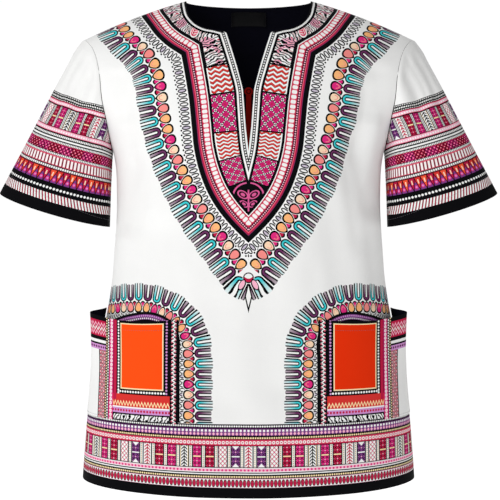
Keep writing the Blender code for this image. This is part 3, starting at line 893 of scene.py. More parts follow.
def boxes(ink, x, h, low, high, pitch, beaded=1.0):
    """A row of upright boxes between two heights: leaf sprays on white, crimson and magenta boxes with lattices, and
    upright bars between them, with beads or without."""
    row = h.within(low, high)
    middle, tall = (low + high) / 2, high - low
    kind = abs(x.number(pitch)).turn(8)
    cx = x.wrapped(pitch)
    side = abs(cx)
    y = h - middle
    size = pitch * 0.335
    ink.lay(row, "black")
    ink.lay(row * (abs(side - pitch * 0.435) < pitch * 0.034), "white")
    ink.lay(beaded * row * (abs(side - pitch * 0.50) < pitch * 0.030) * (abs(y.wrapped(2.9)) < 0.95), "cream")
    box = row * (side < size)
    white = (kind < 0.5) + (abs(kind - 5.0) < 0.5)
    dark = abs(kind - 1.0) < 0.5
    pale = abs(kind - 2.0) < 0.5
    red = (abs(kind - 3.0) < 0.5) + (kind > 6.5)
    dye = ink.mixed(red, "magenta", "crimson")
    dye = ink.mixed(dark, dye, "purple")
    ink.lay(box, ink.mixed(white + pale, dye, "white"))
    lattice = pitch * 0.33
    a, b = crossing(cx, y, lattice)
    fancy = box * (1 - white)
    ink.lay(fancy * (a.math("MINIMUM", b) < pitch * 0.032), ink.mixed(pale, "black", "crimson"))
    ink.lay(fancy * (cx.wrapped(lattice).from_point(y.wrapped(lattice)) < pitch * 0.052),
            ink.mixed(pale, "pink", "magenta"))
    ink.lay(box * (1 - white - pale) * (abs(y) < tall * 0.028), ink.mixed(dark, "cream", "white"))
    ink.lay(box * dark * (side < abs(y) - tall * 0.32), "white")
    spray = abs((y + side * 0.9).wrapped(tall * 0.15)) < tall * 0.034
    stem = (side < 0.6) * (abs(y) < tall * 0.42)
    ink.lay(box * white * (spray * (side < size * 0.72)).math("MAXIMUM", stem),
            ink.mixed(kind > 2.0, "crimson", "black"))
    ink.lay(box * (abs(kind - 5.0) < 0.5) * (side > size * 0.80), "cream")
    ink.lay(row * (abs(side - size) < 0.5), "black")


def chevrons(ink, row, x, y, pitch, rise, thick, colour):
    """A zigzag along x within a row."""
    ink.lay(row * (abs(y - (abs(x.wrapped(pitch)) - pitch / 4) * rise) < thick), colour)


def hem_print(ink, x, h):
    """The border above the hem, by distance across and height above the edge."""
    ink.colour = ink.stripes(h, 101.6, (
        (0.0, "black"), (13.9, "pink"), (26.2, "black"), (32.0, "white"), (33.6, "black"), (35.2, "pink"),
        (41.2, "black"), (71.6, "rose"), (79.9, "black"), (84.8, "purple"), (95.7, "black"), (101.0, "white"),
    ))
    boxes(ink, x, h, 42.3, 70.9, 18.6)
    oval = (x.wrapped(5.6) * 0.70).from_point((h - 20.2) * 0.36)
    ink.lay(h.within(14.6, 25.6) * (oval > 1.9), "white")
    layers(ink, oval, ((1.9, "black"), (1.45, "crimson")))
    beads(ink, x, h - 29.0, 3.4, 1.25, "cream")
    beads(ink, x, h - 38.0, 5.4, 1.5, "magenta")
    ink.lay(h.within(40.2, 41.2) + h.within(35.2, 36.2), "white")
    beads(ink, x, h - 75.8, 5.6, 2.25, "white", 2.8)
    beads(ink, x, h - 75.8, 5.6, 1.0, "crimson", 2.8)
    ink.lay(h.within(71.6, 73.0) + h.within(78.6, 79.9), "crimson")
    beads(ink, x, h - 82.3, 3.4, 1.25, "cream")
    ink.lay(h.within(90.8, 93.8) * (abs(x.wrapped(5.6)) < 1.6), "white")
    heart = abs(x.wrapped(5.6)) * 0.9 + abs(h - 87.8) * 0.75
    ink.lay(heart < 1.9, "pink")
    ink.lay(h.within(94.4, 95.7) + h.within(84.8, 85.6), "black")
    beads(ink, x, h - 98.3, 3.4, 1.3, "white")


def panel_print(ink, with_slit):
    """The panel round the neck and down the chest: bands along its outer edge, bands along the neck and slit, and a
    column of patches between them."""
    u, w, _ = ink.field("cloth")
    yoke_s, yoke_d, neck = ink.field("yoke")
    if with_slit:
        tongue_s, tongue_d, slit = ink.field("tongue")
        neck_s, slit_s, place = ink.field("edge")
        on_tongue = tongue_d > yoke_d
        d = yoke_d.math("MAXIMUM", tongue_d)
        s = yoke_s + on_tongue * (tongue_s - yoke_s)
        shifted = neck + 4.2
        at_slit = slit < shifted
        inner = shifted.math("MINIMUM", slit)
        inner_s = neck_s + at_slit * (slit_s - neck_s)
    else:
        d, s, inner = yoke_d, yoke_s, neck + 4.2
    ink.colour = ink.stripes(d, 60.0, (
        (0.0, "black"), (7.2, "plum"), (8.2, "crimson"), (9.9, "rose"), (11.4, "black"), (15.6, "crimson"),
        (16.8, "rose"), (25.4, "crimson"), (26.8, "white"), (28.2, "black"),
    ))
    beads(ink, s, d - 13.6, 3.5, 1.1, "pink")
    rung = abs(s.wrapped(6.9))
    ink.lay(d.within(16.8, 25.4) * (rung > 2.9), "crimson")
    ink.lay((rung * 1.12).from_point(d - 21.1) < 4.6, "rose")
    ink.lay(((rung * 1.12).from_point(d - 21.1) < 3.9) * (rung < 2.6), "white")
    column = d > 32.2
    ink.lay(column, "black")
    if with_slit:
        waves = column * on_tongue * (place.within(26.0, 66.0) + place.within(120.0, 168.0))
        lattice = column * on_tongue * (place.within(66.0, 120.0) + (place > 168.0))
        strokes = column * (1 - waves) * (1 - lattice)
        scribble(ink, strokes, s, d - 32.2, 4.6)
        stem = yoke_s + (44.0 - d) * 0.3 - 8.0
        leaf = (stem * 1.5).from_point((d - 44.0) * 0.88)
        leafy = strokes * (1 - on_tongue)
        layers(ink, leaf, ((11.4, "black"), (10.0, "white"), (8.0, "rose")), leafy)
        ink.lay(leafy * (leaf < 7.0) * (abs((d - abs(stem)).wrapped(4.2)) < 0.7), "white")
        ink.lay(leafy * (leaf < 8.0) * (abs(stem) < 0.6), "crimson")
        ink.lay(waves, "white")
        across = d - 32.2
        ripple = abs(across.wrapped(12.0)) * 0.62
        crest = (place - ripple).wrapped(6.7)
        ink.lay(waves * (abs(crest) < 1.9) * (across > 1.9), "black")
        ink.lay(waves * (abs(crest + 0.25) < 1.35) * (across > 2.4), "red")
        lozenges(ink, lattice, across - 12.0, place, 14.6, "magenta", "crimson")
        for edge in (26.0, 66.0, 120.0, 168.0):
            ink.lay(column * on_tongue * (abs(place - edge) < 1.2), "black")
        area = column * ((w - 0.39 * u) > 354.0)
        ink.lay(area, "black")
        y = w - 388.0
        arc = (u * 0.86).from_point(y + 9.0)
        ink.lay(area * (abs(arc - 19.0) < 1.1) * (y < -3.0), "orchid")
        for centre, size in ((-11.0, 9.4), (2.5, 7.6), (13.5, 5.4)):
            reach, rise = u - size * 0.86, y - centre
            lobe = (reach * 0.75 - rise * 0.55).from_point((reach * 0.55 + rise * 0.85) * 1.5)
            layers(ink, lobe, ((size * 0.88, "orchid"), (size * 0.64, "black"), (size * 0.36, "orchid")), area)
        ink.lay(area * (u < 1.1) * y.within(-18.0, 27.0), "orchid")
    else:
        scribble(ink, column, s, d - 32.2, 4.6)
    ink.lay(inner < 13.4, "black")
    ink.lay(inner.within(6.8, 9.8), "white")
    if with_slit:
        facing = at_slit * (inner < 6.9)
        ink.lay(facing, "black")
        ink.lay(facing * (inner < 2.4), "white")
        ink.lay(facing * (abs(inner_s.wrapped(3.9)) < 1.05) * inner.within(3.6, 5.7), "white")
    else:
        ink.lay(inner < 5.0, "black")


def fringe_print(ink, with_slit):
    """The white ground with the fringe of ovals, buds and hooks round the panel."""
    yoke_s, yoke_d, _ = ink.field("yoke")
    s, d, _ = ink.field("fringe")
    if with_slit:
        tongue_s, tongue_d, _ = ink.field("tongue")
        o = 0 - yoke_d.math("MAXIMUM", tongue_d)
        edge_s = yoke_s + (tongue_d > yoke_d) * (tongue_s - yoke_s)
    else:
        o, edge_s = 0 - yoke_d, yoke_s
    hooks(ink, s, d, 16.4, 32.0)
    loops(ink, edge_s, o - 1.6, 6.9, 13.4)
    petals(ink, s, d, 16.4, 19.0, 16.4 * with_slit)
    ink.lay(o < 0.0, "black")
    if with_slit:
        u, w, _ = ink.field("cloth")
        leaf = u.math("MAXIMUM", 0.0) - (17.0 - abs(w - 524.0)) * 0.24
        layers(ink, leaf, ((1.6, "black"), (-0.4, "white")))
        moon = u.from_point(w - 497.0)
        layers(ink, moon, ((8.6, "white"), (7.8, "black"), (6.2, "white")))
        ink.lay((moon < 6.2) * (u.from_point(w - 491.0) > 7.2), "crimson")
        sepal = ((u - 9.6) * 1.25 - (w - 507.0) * 0.5).from_point((w - 507.0) * 0.72)
        layers(ink, sepal, ((6.0, "black"), (4.6, "pink")))


def arch_print(ink):
    """The fringe over the pocket, with a beaded band under it."""
    s, d, _ = ink.field("archfringe")
    edge_s, o, _ = ink.field("arch")
    hooks(ink, s, d, 14.6, 27.0)
    loops(ink, edge_s, o - 1.6, 6.4, 7.8)
    petals(ink, s, d, 14.6, 16.5)
    ink.lay(o < 1.6, "black")
    ink.lay(o.within(-9.8, -2.2), "purple")
    beads(ink, edge_s, o + 4.2, 3.8, 1.35, "lilac")
    beads(ink, edge_s, o + 8.0, 3.8, 1.2, "white", 1.9)


def sleeve_print(ink):
    """The border round the sleeve, by distance round from its upper fold and distance from the cuff."""
    r, t, _ = ink.field("cloth")
    ink.colour = ink.stripes(t, 180.4, (
        (0.0, "black"), (44.8, "purple"), (58.0, "crimson"), (66.6, "black"), (72.2, "rose"), (87.0, "black"),
        (91.6, "crimson"), (105.0, "black"), (120.0, "crimson"), (121.2, "pink"), (126.4, "crimson"), (127.4, "black"),
        (161.4, "crimson"), (162.4, "pink"), (167.6, "crimson"), (168.6, "black"), (179.6, "white"),
    ))
    strokes = (r + (t - 24.0) * 0.45).wrapped(4.9)
    ink.lay(t.within(18.0, 30.4) * (abs(strokes) < 1.35), "white")
    ink.lay(t.within(18.0, 30.4) * (abs(strokes) > 1.9), "crimson")
    beads(ink, r, t - 37.9, 5.4, 1.9, "white")
    slope = abs(r.wrapped(10.8))
    tip = t - 46.4
    kind = r.number(10.8).turn(3)
    ink.lay(t.within(45.6, 66.6) * (slope < tip * 0.27 + 0.9), "black")
    dye = ink.mixed(kind < 0.5, ink.mixed(kind > 1.5, "red", "crimson"), "vermilion")
    ink.lay(t.within(46.0, 65.6) * (slope < tip * 0.27 - 0.4), dye)
    ink.lay(t.within(56.0, 62.5) * (slope < 1.0), "blush")
    low = (r + 5.4).wrapped(10.8).from_point(t - 51.5)
    layers(ink, low, ((3.0, "magenta"), (1.5, "lilac")))
    ink.lay(t.within(44.8, 46.2), "black")
    for start, end, pitch, half in ((67.8, 71.0, 3.8, 1.35), (87.8, 90.6, 3.2, 1.1), (106.0, 108.8, 3.0, 1.05),
                                    (115.2, 118.4, 3.4, 1.2)):
        ink.lay(t.within(start, end) * (abs(r.wrapped(pitch)) < half), "white")
    ink.lay(t.within(73.8, 85.2) * (abs((r + t * 0.2).wrapped(6.2)) < 1.7), "white")
    ink.lay(t.within(73.0, 86.0) * (abs((r + t * 0.2 + 3.1).wrapped(6.2)) < 0.75), "black")
    speck = t.within(91.6, 105.0)
    a, b = crossing(r, t, 6.8)
    ink.lay(speck, "black")
    layers(ink, a.math("MAXIMUM", b),
           ((2.7, ink.mixed(r.number(20.4).turn(2), "crimson", "magenta")), (0.95, "pink")), speck)
    ink.lay(speck * (ink.noise(0.5, 1.0) > 0.60), "black")
    ink.lay(t.within(110.6, 113.2), "white")
    beads(ink, r, t - 123.8, 4.8, 1.5, "white")
    boxes(ink, r, t, 128.2, 160.4, 17.2, 0.0)
    beads(ink, r, t - 165.0, 4.8, 1.5, "white")
    speckle = (r + t * 0.9).wrapped(4.0).from_point((t - 174.0).wrapped(4.4))
    ink.lay(t.within(169.8, 178.6) * (speckle < 1.35), "white")


def pocket_print(ink, dye):
    """The pocket's border and its plain field, by distance across the front and height above the foot."""
    u, h, _ = ink.field("cloth")
    ink.lay((u < 207.5) * (h > 2.0), "black")
    chain = u.within(104.4, 113.4)
    blot = (ink.noise(0.16, 1.0) - 0.5) * 5.0
    chevrons(ink, chain, h + blot, u - 109.0, 5.6, 1.6, 1.5, "white")
    beads(ink, h, u - 106.6, 5.6, 1.2, "rose", 1.4)
    beads(ink, h, u - 111.6, 5.6, 1.2, "rose", 4.2)
    field = u.within(114.6, 207.5)
    strokes = (u + 0.5 * h + ink.noise(0.12, 1.0) * 14.0).wrapped(5.6)
    ink.lay(h.within(5.0, 12.4) * u.within(116.0, 206.0) * (abs(strokes) < 1.6), "white")
    ink.lay(h.within(14.5, 22.0) * field, "lilac")
    beads(ink, u, h - 18.4, 4.8, 1.7, "crimson", row=field)
    ink.lay(h.within(22.0, 24.0) * field, "white")
    ink.lay(h.within(24.0, 42.0) * field, "red")
    chevrons(ink, h.within(24.0, 33.6) * field, u, h - 28.6, 5.0, 2.4, 1.5, "cream")
    ink.lay(u.within(200.8, 206.4) * (h > 33.0), "crimson")
    upper = h > 42.0
    ink.lay(u.within(114.6, 200.8) * upper, "black")
    beads(ink, h, u - 119.6, 4.6, 1.5, "lilac", 0.8, upper)
    beads(ink, h, u - 197.0, 4.4, 1.6, "white", 0.8, upper)
    beads(ink, u, h - 45.6, 4.4, 1.6, "white", 0.0, u.within(120.0, 198.0))
    ink.lay(u.within(124.2, 193.2) * (h > 49.4) * (h < 147.0), "cream")
    ink.lay(u.within(126.0, 191.4) * (h > 51.2) * (h < 145.4), dye)
    ink.lay(u.within(207.5, 216.0), "magenta")
    beads(ink, h, u - 211.6, 5.6, 2.5, "white", 1.0)
    beads(ink, h, u - 211.6, 5.6, 1.3, "pink", 1.0)
    ink.lay(u.within(216.0, 224.6), "black")
    beads(ink, h, u - 218.6, 3.9, 1.4, "white")
    beads(ink, h, u - 222.4, 3.9, 1.2, "cream", 1.9)
    lozenges(ink, u.within(224.6, 239.0), u - 231.8, h, 9.4, "rose", "white")
    ink.lay(abs(u - 239.4) < 0.9, "black")
    wrap = u > 224.6
    ink.lay(wrap * (h > 102.0), "lilac")
    beads(ink, u, h - 105.8, 4.8, 1.7, "plum", 0.0, wrap)
    for start, colour in ((109.4, "black"), (112.0, "white"), (116.2, "black"), (121.4, "crimson")):
        ink.lay(wrap * (h > start), colour)
    for rise, colour in ((126.6, "pink"), (132.6, "white"), (138.6, "pink")):
        chevrons(ink, wrap * h.within(122.6, 143.0), u, h - rise, 4.6, 2.2, 1.2, colour)
    ink.lay(wrap * (h > 144.6), "black")


def inside_print(ink, back):
    """The dark inner side, with the stripe down the middle of the back."""
    u, w, _ = ink.field("cloth")
    cloud = ink.noise(0.02)
    ink.colour = ink.mixed(cloud * 0.6, "inside", "black")
    if back:
        stripe = (u < 4.2) * w.within(198.0, 660.0)
        knob = u.from_point(w - 198.0)
        ink.lay(stripe.math("MAXIMUM", knob < 6.8), "stripe")
        ink.lay(knob.within(2.8, 4.0), "black")


def dyed(name, ground, specular, sheen):
    """A new material, its shader, and the print that starts from its ground."""
    material = bpy.data.materials.new(name)
    material.use_nodes = True
    shader = material.node_tree.nodes["Principled BSDF"]
    shader.inputs["Specular IOR Level"].default_value = specular
    shader.inputs["Sheen Weight"].default_value = sheen
    return material, shader, Print(material.node_tree, bpy.context.scene.shirt_colours, ground)


def faced(material, shader, colour, rough, relief, strength, distance):
    """Gives a shader its colour and roughness, and a relief of some strength and depth in metres."""
    tree = material.node_tree
    bump = node(tree, "ShaderNodeBump", {}, {"Strength": strength, "Distance": distance, "Height": relief})
    for key, wire in (("Base Color", colour), ("Roughness", rough), ("Normal", bump)):
        tree.links.new(wire.socket, shader.inputs[key])
    return material


def cotton(name, draw, ground="white"):
    """A printed cotton: the print drawn on its ground, the threads' weave, soft unevenness and a little sheen."""
    material, shader, ink = dyed(name, ground, 0.05, 0.006)
    draw(ink)
    uneven, threads = ink.noise(0.018, 3.0), ink.noise(0.9)
    worn = node(ink.tree, "ShaderNodeVectorMath", {"operation": "SCALE"},
                {0: ink.colour[:3] if isinstance(ink.colour, tuple) else ink.colour,
                 "Scale": 1.0 - (uneven * 0.05) - (threads * 0.07)})
    u, w, _ = ink.field("cloth")
    weft, warp = ((x * (2 * math.pi / 1.1)).math("SINE") for x in (u, w))
    relief = weft * warp * 0.5 + ink.noise(0.35) * 1.6
    return faced(material, shader, worn, 0.76 + 0.12 * threads, relief, 0.5, 0.00016)


def cottons(word, prints, back=False):
    """The cottons of a piece, each with its part's name and print, and last the one of its inner side."""
    outer = [cotton(f"{word}_{part}", draw) for part, draw in prints]
    return [*outer, cotton(f"{word}_inside", lambda ink: inside_print(ink, back), "inside")]


def satin(name, ground):
    """The label's tightly woven satin, with fine cross threads."""
    material, shader, ink = dyed(name, ground, 0.22, 0.0)
    u, w, _ = ink.field("cloth")
    threads = ink.noise(1.4)
    relief = (w * (2 * math.pi / 0.5)).math("SINE") * 0.6 + (u * (2 * math.pi / 0.9)).math("SINE") * 0.3
    return faced(material, shader, ink.mixed(threads * 0.06, ink.colour, "inside"), 0.34 + 0.16 * threads,
                 relief + threads, 0.5, 0.0001)


def thread(name, ground, other):
    """Twisted sewing thread."""
    material, shader, ink = dyed(name, ground, 0.5, 0.1)
    place = node(ink.tree, "ShaderNodeTexCoord", {}, {}, out=3)
    ply = node(ink.tree, "ShaderNodeTexNoise", {}, {"Vector": place, "Scale": 1800.0, "Detail": 1.0})
    ink.tree.links.new(ink.mixed(ply * 0.35, ink.colour, other).socket, shader.inputs["Base Color"])
    ink.tree.links.new((0.5 + 0.2 * ply).socket, shader.inputs["Roughness"])
    return material


def finished(obj, node_name):
    """Tells the frame what a finished piece rides on, and hides the part of the solids that it stands for."""
    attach(obj, "root")
    if node_name:
        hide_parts(node_name)


def away_from_middle(centres):
    """Out of the body: away from its upright middle line."""
    out = centres * np.array([1.0, 1.0, 0.0])
    return out + np.array([0.0, 0.0, 0.02])


def body_panel(name, facing):
    """One half of the shirt's body, with the measures of its print kept on the cloth."""
    cloth = bpy.context.scene.shirt_cloth
    runs = panel_runs(facing, cloth.step)
    halves = []
    for side in (-1, 1):
        inner = turn_at(neck_edge_x(facing, runs), runs)
        outer = outer_turn(facing, runs)
        share = np.linspace(0, 1, PANEL_COLUMNS + 1)
        turn = inner[:, None] + (outer - inner)[:, None] * share
        run = np.repeat(runs[:, None], PANEL_COLUMNS + 1, axis=1)
        places = body_point(facing, side * turn, run)
        fields = panel_fields(facing, turn, run, places)
        halves.append(cloth_grid(f"{name}_half", places, fields))
    obj = joined(halves, away_from_middle)
    obj.name = obj.data.name = name
    return obj


def pocket_place(side, share, run):
    """Places, outward directions and angles on a pocket, from its inner edge out to the side seam."""
    foot, mouth = POCKET_RUNS
    inner = turn_at(np.full(run.shape, POCKET_INNER), run)
    turn = inner + (math.pi / 2 - inner) * share
    raised = ((foot - run) / (foot - mouth)) ** 1.5
    stand_off = FRONT_GAPE * np.sin(math.pi * share)
    stand_off += SIDE_GAPE * np.exp(-(((share - SIDE_GAPE_AT) / SIDE_GAPE_WIDTH) ** 2))
    stand_off *= raised * smoothstep((1 - share) / (1 - SIDE_GAPE_AT))
    lift = POCKET_SIDE_LIFT * smoothstep((share - POCKET_LIFT_FROM) / (1 - POCKET_LIFT_FROM))
    sag = POCKET_SAG * np.sin(math.pi * np.minimum(1.0, share / POCKET_LIFT_FROM))
    out = outward(-1, side * turn, run)
    wall = bpy.context.scene.shirt_cloth.wall
    places = body_point(-1, side * turn, run) + out * (stand_off + wall + 0.0005)[..., None]
    places[..., 2] += (lift - sag) * raised
    return places, out, turn


def panel_regions(obj, with_slit):
    """For each face of a panel, which of its materials it has: 0 plain, 1 fringe, 2 neck panel, 3 hem, 4 arch."""
    cloth, yoke, fringe = attribute(obj, "cloth"), attribute(obj, "yoke"), attribute(obj, "fringe")
    inside = yoke[:, 1]
    if with_slit:
        inside = np.maximum(inside, attribute(obj, "tongue")[:, 1])
    chosen = np.zeros(len(obj.data.polygons), int)
    chosen[face_means(obj, fringe[:, 1]) < FRINGE_REACH] = 1
    if with_slit:
        arch = face_means(obj, attribute(obj, "arch")[:, 1])
        low = face_means(obj, cloth[:, 1])
        chosen[(arch < ARCH_REACH) & (low > ARCH_FROM)] = 4
    chosen[face_means(obj, inside) > PANEL_FROM] = 2
    chosen[face_means(obj, cloth[:, 2]) < BORDER_RISE * 1000] = 3
    return chosen


def dressed_panel(word, facing, prints):
    """A body panel of cloth with its prints, dark on its inner side."""
    settings = bpy.context.scene.shirt_cloth
    obj = body_panel(f"{word}_cloth", facing)
    cloth = attribute(obj, "cloth")
    give_wall(obj, settings.wall, settings.hem_wall, cloth[:, 2] < settings.hem_turn * 1000 + 0.01,
              cottons(word, prints, facing > 0), panel_regions(obj, facing < 0))
    finished(obj, word)


class DASHIKI_OT_front(bpy.types.Operator):
    """Make the front of printed cotton, slit at the chest"""
    bl_idname = "dashiki.front"
    bl_label = "Front"

    def execute(self, context):
        dressed_panel("front", -1, (
            ("plain", lambda ink: None), ("fringe", lambda ink: fringe_print(ink, True)),
            ("panel", lambda ink: panel_print(ink, True)),
            ("border", lambda ink: hem_print(ink, *ink.field("cloth")[::2])), ("arch", arch_print)))
        return {"FINISHED"}


class DASHIKI_OT_back(bpy.types.Operator):
    """Make the back of printed cotton"""
    bl_idname = "dashiki.back"
    bl_label = "Back"

    def execute(self, context):
        dressed_panel("back", 1, (
            ("plain", lambda ink: None), ("fringe", lambda ink: fringe_print(ink, False)),
            ("panel", lambda ink: panel_print(ink, False)),
            ("border", lambda ink: hem_print(ink, *ink.field("cloth")[::2]))))
        return {"FINISHED"}


class DASHIKI_OT_sleeves(bpy.types.Operator):
    """Make both sleeves with their printed borders"""
    bl_idname = "dashiki.sleeves"
    bl_label = "Sleeves"

    def execute(self, context):
        settings = context.scene.shirt_cloth
        ring = armhole_ring()
        share = np.linspace(0, 1, SLEEVE_ROWS)
        grid = [np.broadcast_to(x, (len(share), len(x))) for x in ring]
        places, _ = sleeve_place(*grid, np.repeat(share[:, None], len(ring[0]), axis=1))
        steps = np.linalg.norm(np.diff(places, axis=0), axis=-1)
        from_cuff = np.concatenate([np.cumsum(steps[::-1], axis=0)[::-1], np.zeros((1, len(ring[0])))])
        round_way = lengths(places[MEASURED_ROW])
        round_way = np.abs(round_way - round_way[len(armhole_runs()) - 1])
        fields = {"cloth": np.stack(np.broadcast_arrays(round_way * 1000, from_cuff * 1000, share[:, None]), -1)}
        materials = cottons("sleeve", (("plain", lambda ink: None), ("border", sleeve_print)))
        for side, word in ((-1, "left"), (1, "right")):
            obj = cloth_grid(f"sleeve_{word}_cloth", places * np.array([side, 1.0, 1.0]), fields)
            middle = places.mean(axis=(0, 1)) * np.array([side, 1.0, 1.0])
            first, last = places[0].mean(axis=0), places[-1].mean(axis=0)
            axis = unit((last - first) * np.array([side, 1.0, 1.0]))
            obj = joined([obj], lambda centres, m=middle, a=axis: (centres - m)
                         - ((centres - m) @ a)[:, None] * a)
            t = attribute(obj, "cloth")[:, 1]
            chosen = (face_means(obj, t) < SLEEVE_BORDER).astype(int)
            give_wall(obj, settings.wall, settings.hem_wall, t < settings.cuff_turn * 1000, materials, chosen)
            finished(obj, f"sleeve_{word}")
        return {"FINISHED"}


class DASHIKI_OT_pockets(bpy.types.Operator):
    """Make both patch pockets"""
    bl_idname = "dashiki.pockets"
    bl_label = "Pockets"

    def execute(self, context):
        settings = context.scene.shirt_cloth
        runs = np.linspace(*POCKET_RUNS, 36)
        share, run = np.meshgrid(np.linspace(0, 1, 61), runs)
        for side, word, dye in ((-1, "left", "orange"), (1, "right", "orange_deep")):
            places, _, turn = pocket_place(side, share, run)
            fields = panel_fields(-1, turn, run, places)
            u, w = fields["cloth"][..., 0], fields["cloth"][..., 1]
            fields = {"cloth": np.stack([u, POCKET_FOOT_DOWN - w, 0 * u], -1)}
            obj = cloth_grid(f"pocket_{word}_cloth", places, fields)
            obj = joined([obj], away_from_middle)
            h = attribute(obj, "cloth")[:, 1]
            materials = cottons(f"pocket_{word}", (("print", lambda ink, dye=dye: pocket_print(ink, dye)),))
            give_wall(obj, settings.wall, settings.wall * 1.6, h > POCKET_TURN, materials,
                      np.zeros(len(obj.data.polygons)))
            finished(obj, f"pocket_{word}")
        return {"FINISHED"}


class DASHIKI_OT_label(bpy.types.Operator):
    """Make the plain woven label inside the back neck"""
    bl_idname = "dashiki.label"
    bl_label = "Neck label"

    def execute(self, context):
        settings = context.scene.shirt_cloth
        runs = np.linspace(LABEL_RUN + LABEL_HEIGHT, LABEL_RUN, 13)
        reach = np.linspace(-LABEL_WIDTH / 2, LABEL_WIDTH / 2, 23)
        run = np.repeat(runs[:, None], len(reach), axis=1)
        turn = np.sign(reach) * turn_at(np.abs(reach)[None, :] * np.ones_like(run), run)
        out = outward(1, turn, run)
        curl = 0.0006 * smoothstep((np.abs(reach) / (LABEL_WIDTH / 2) - 0.8) / 0.2)
        places = body_point(1, turn, run) - out * (settings.wall + 0.0004 + curl)[..., None]
        measures = np.broadcast_arrays(reach[None, :] * 1000, (LABEL_RUN + LABEL_HEIGHT - run) * 1000, 0 * run)
        obj = cloth_grid("neck_label_cloth", places, {"cloth": np.stack(measures, -1)})
        obj = joined([obj], away_from_middle)
        h = attribute(obj, "cloth")[:, 1]
        x = np.abs(attribute(obj, "cloth")[:, 0])
        material = satin("label_satin", "black")
        give_wall(obj, LABEL_WALL, LABEL_HEM_WALL, (h > 25.0) | (h < 5.0) | (x > 25.0),
                  [material, material], np.zeros(len(obj.data.polygons)))
        finished(obj, "neck_label")
        return {"FINISHED"}


def seam_rows():
    """The rows of topstitching as places and outward directions: those in white thread, then those in black."""
    fine = np.linspace(0, 1, 160)
    white, black = [], []
    for facing in (-1, 1):
        turn = (2 * fine - 1) * (math.pi / 2 - 0.004)
        run = np.full(turn.shape, HEM_RUN - HEM_ROW)
        black.append((body_point(facing, turn, run), outward(facing, turn, run)))
        run = UNDERARM_RUN * (1 - fine) + 0.002 * fine
        edge = outer_turn(facing, run) - ARMHOLE_ROW
        across = (fine * 0.9 + 0.05) * (SHOULDER_END - NECK_HALF) + NECK_HALF
        for side in (-1, 1):
            white.append((body_point(facing, side * edge, run), outward(facing, side * edge, run)))
            if facing > 0:
                row = np.full(fine.shape, SHOULDER_ROW)
                turn = side * turn_at(across, row)
                white.append((body_point(1, turn, row), outward(1, turn, row)))
    neck = np.concatenate([SLIT_CURVE[1:-1], NECK_CURVE])
    ahead = unit(np.gradient(neck, axis=0))
    neck = neck + NECK_ROW * np.stack([-ahead[:, 1], ahead[:, 0]], -1)
    neck = neck[neck[:, 1] > 0.003]
    bow = np.linspace(0.03, math.pi - 0.03, 90)
    back_x, back_run = (NECK_HALF + NECK_ROW) * np.cos(bow), (BACK_NECK_RUN + NECK_ROW) * np.sin(bow)
    turn = np.sign(back_x) * turn_at(np.abs(back_x), back_run)
    black.append((body_point(1, turn, back_run), outward(1, turn, back_run)))
    ring = armhole_ring()
    cuff, cuff_out = sleeve_place(*ring, np.full(ring[0].shape, CUFF_ROW))
    foot, mouth = POCKET_RUNS
    over = POCKET_ROW + (POCKET_ROW_END - POCKET_ROW) * fine
    for side in (-1, 1):
        turn = side * turn_at(neck[:, 0], neck[:, 1])
        black.append((body_point(-1, turn, neck[:, 1]), outward(-1, turn, neck[:, 1])))
        mirror = np.array([side, 1.0, 1.0])
        black.append((cuff * mirror, cuff_out * mirror))
        for share, run in (
            (np.full(fine.shape, POCKET_ROW), foot + (mouth - foot) * fine),
            (over, np.full(fine.shape, foot - POCKET_FOOT_ROW)),
            (over, np.full(fine.shape, mouth + POCKET_MOUTH_ROW)),
        ):
            black.append(pocket_place(side, share, run)[:2])
    return white, black


def sewn(name, stitch, rows, pitch):
    """A copy of one stitch at each even place along some rows, all as one object."""
    copies = []
    for places, outs in rows:
        along = lengths(places)
        even = np.linspace(0.0, along[-1], max(3, round(along[-1] / pitch)))
        middles = np.stack([np.interp(even, along, places[:, k]) for k in range(3)], -1)
        out = unit(np.stack([np.interp(even, along, outs[:, k]) for k in range(3)], -1))
        ahead = unit(np.gradient(middles, axis=0))
        beside = unit(np.cross(out, ahead))
        frames = np.stack([ahead, beside, np.cross(ahead, beside), middles], -1)
        for frame in frames:
            copy = stitch.copy()
            copy.data = stitch.data.copy()
            copy.data.transform(Matrix([*frame.tolist(), (0.0, 0.0, 0.0, 1.0)]))
            bpy.context.collection.objects.link(copy)
            copies.append(copy)
    select(*copies)
    bpy.ops.object.join()
    obj = bpy.context.object
    obj.name = obj.data.name = name
    return obj


class DASHIKI_OT_stitching(bpy.types.Operator):
    """Sew the hems, edges, pockets and seams with rows of stitches"""
    bl_idname = "dashiki.stitching"
    bl_label = "Stitching"

    def execute(self, context):
        settings = context.scene.shirt_cloth
        white, black = seam_rows()
        for name, rows, ground, other in (("stitches_white", white, "white", "ash"),
                                          ("stitches_black", black, "black", "ash")):
            deselect()
            bpy.ops.mesh.primitive_uv_sphere_add(segments=6, ring_count=4, radius=0.5)
            stitch = context.object
            reach = settings.stitch
            stitch.data.transform(Matrix.Diagonal((reach, settings.thread, settings.thread, 1.0)))
            stitch.data.materials.append(thread(name, ground, other))
            obj = sewn(name, stitch, rows, settings.stitch_pitch)
            bpy.data.objects.remove(stitch)
            select(obj)
            bpy.ops.object.shade_smooth()
            finished(obj, None)
        return {"FINISHED"}


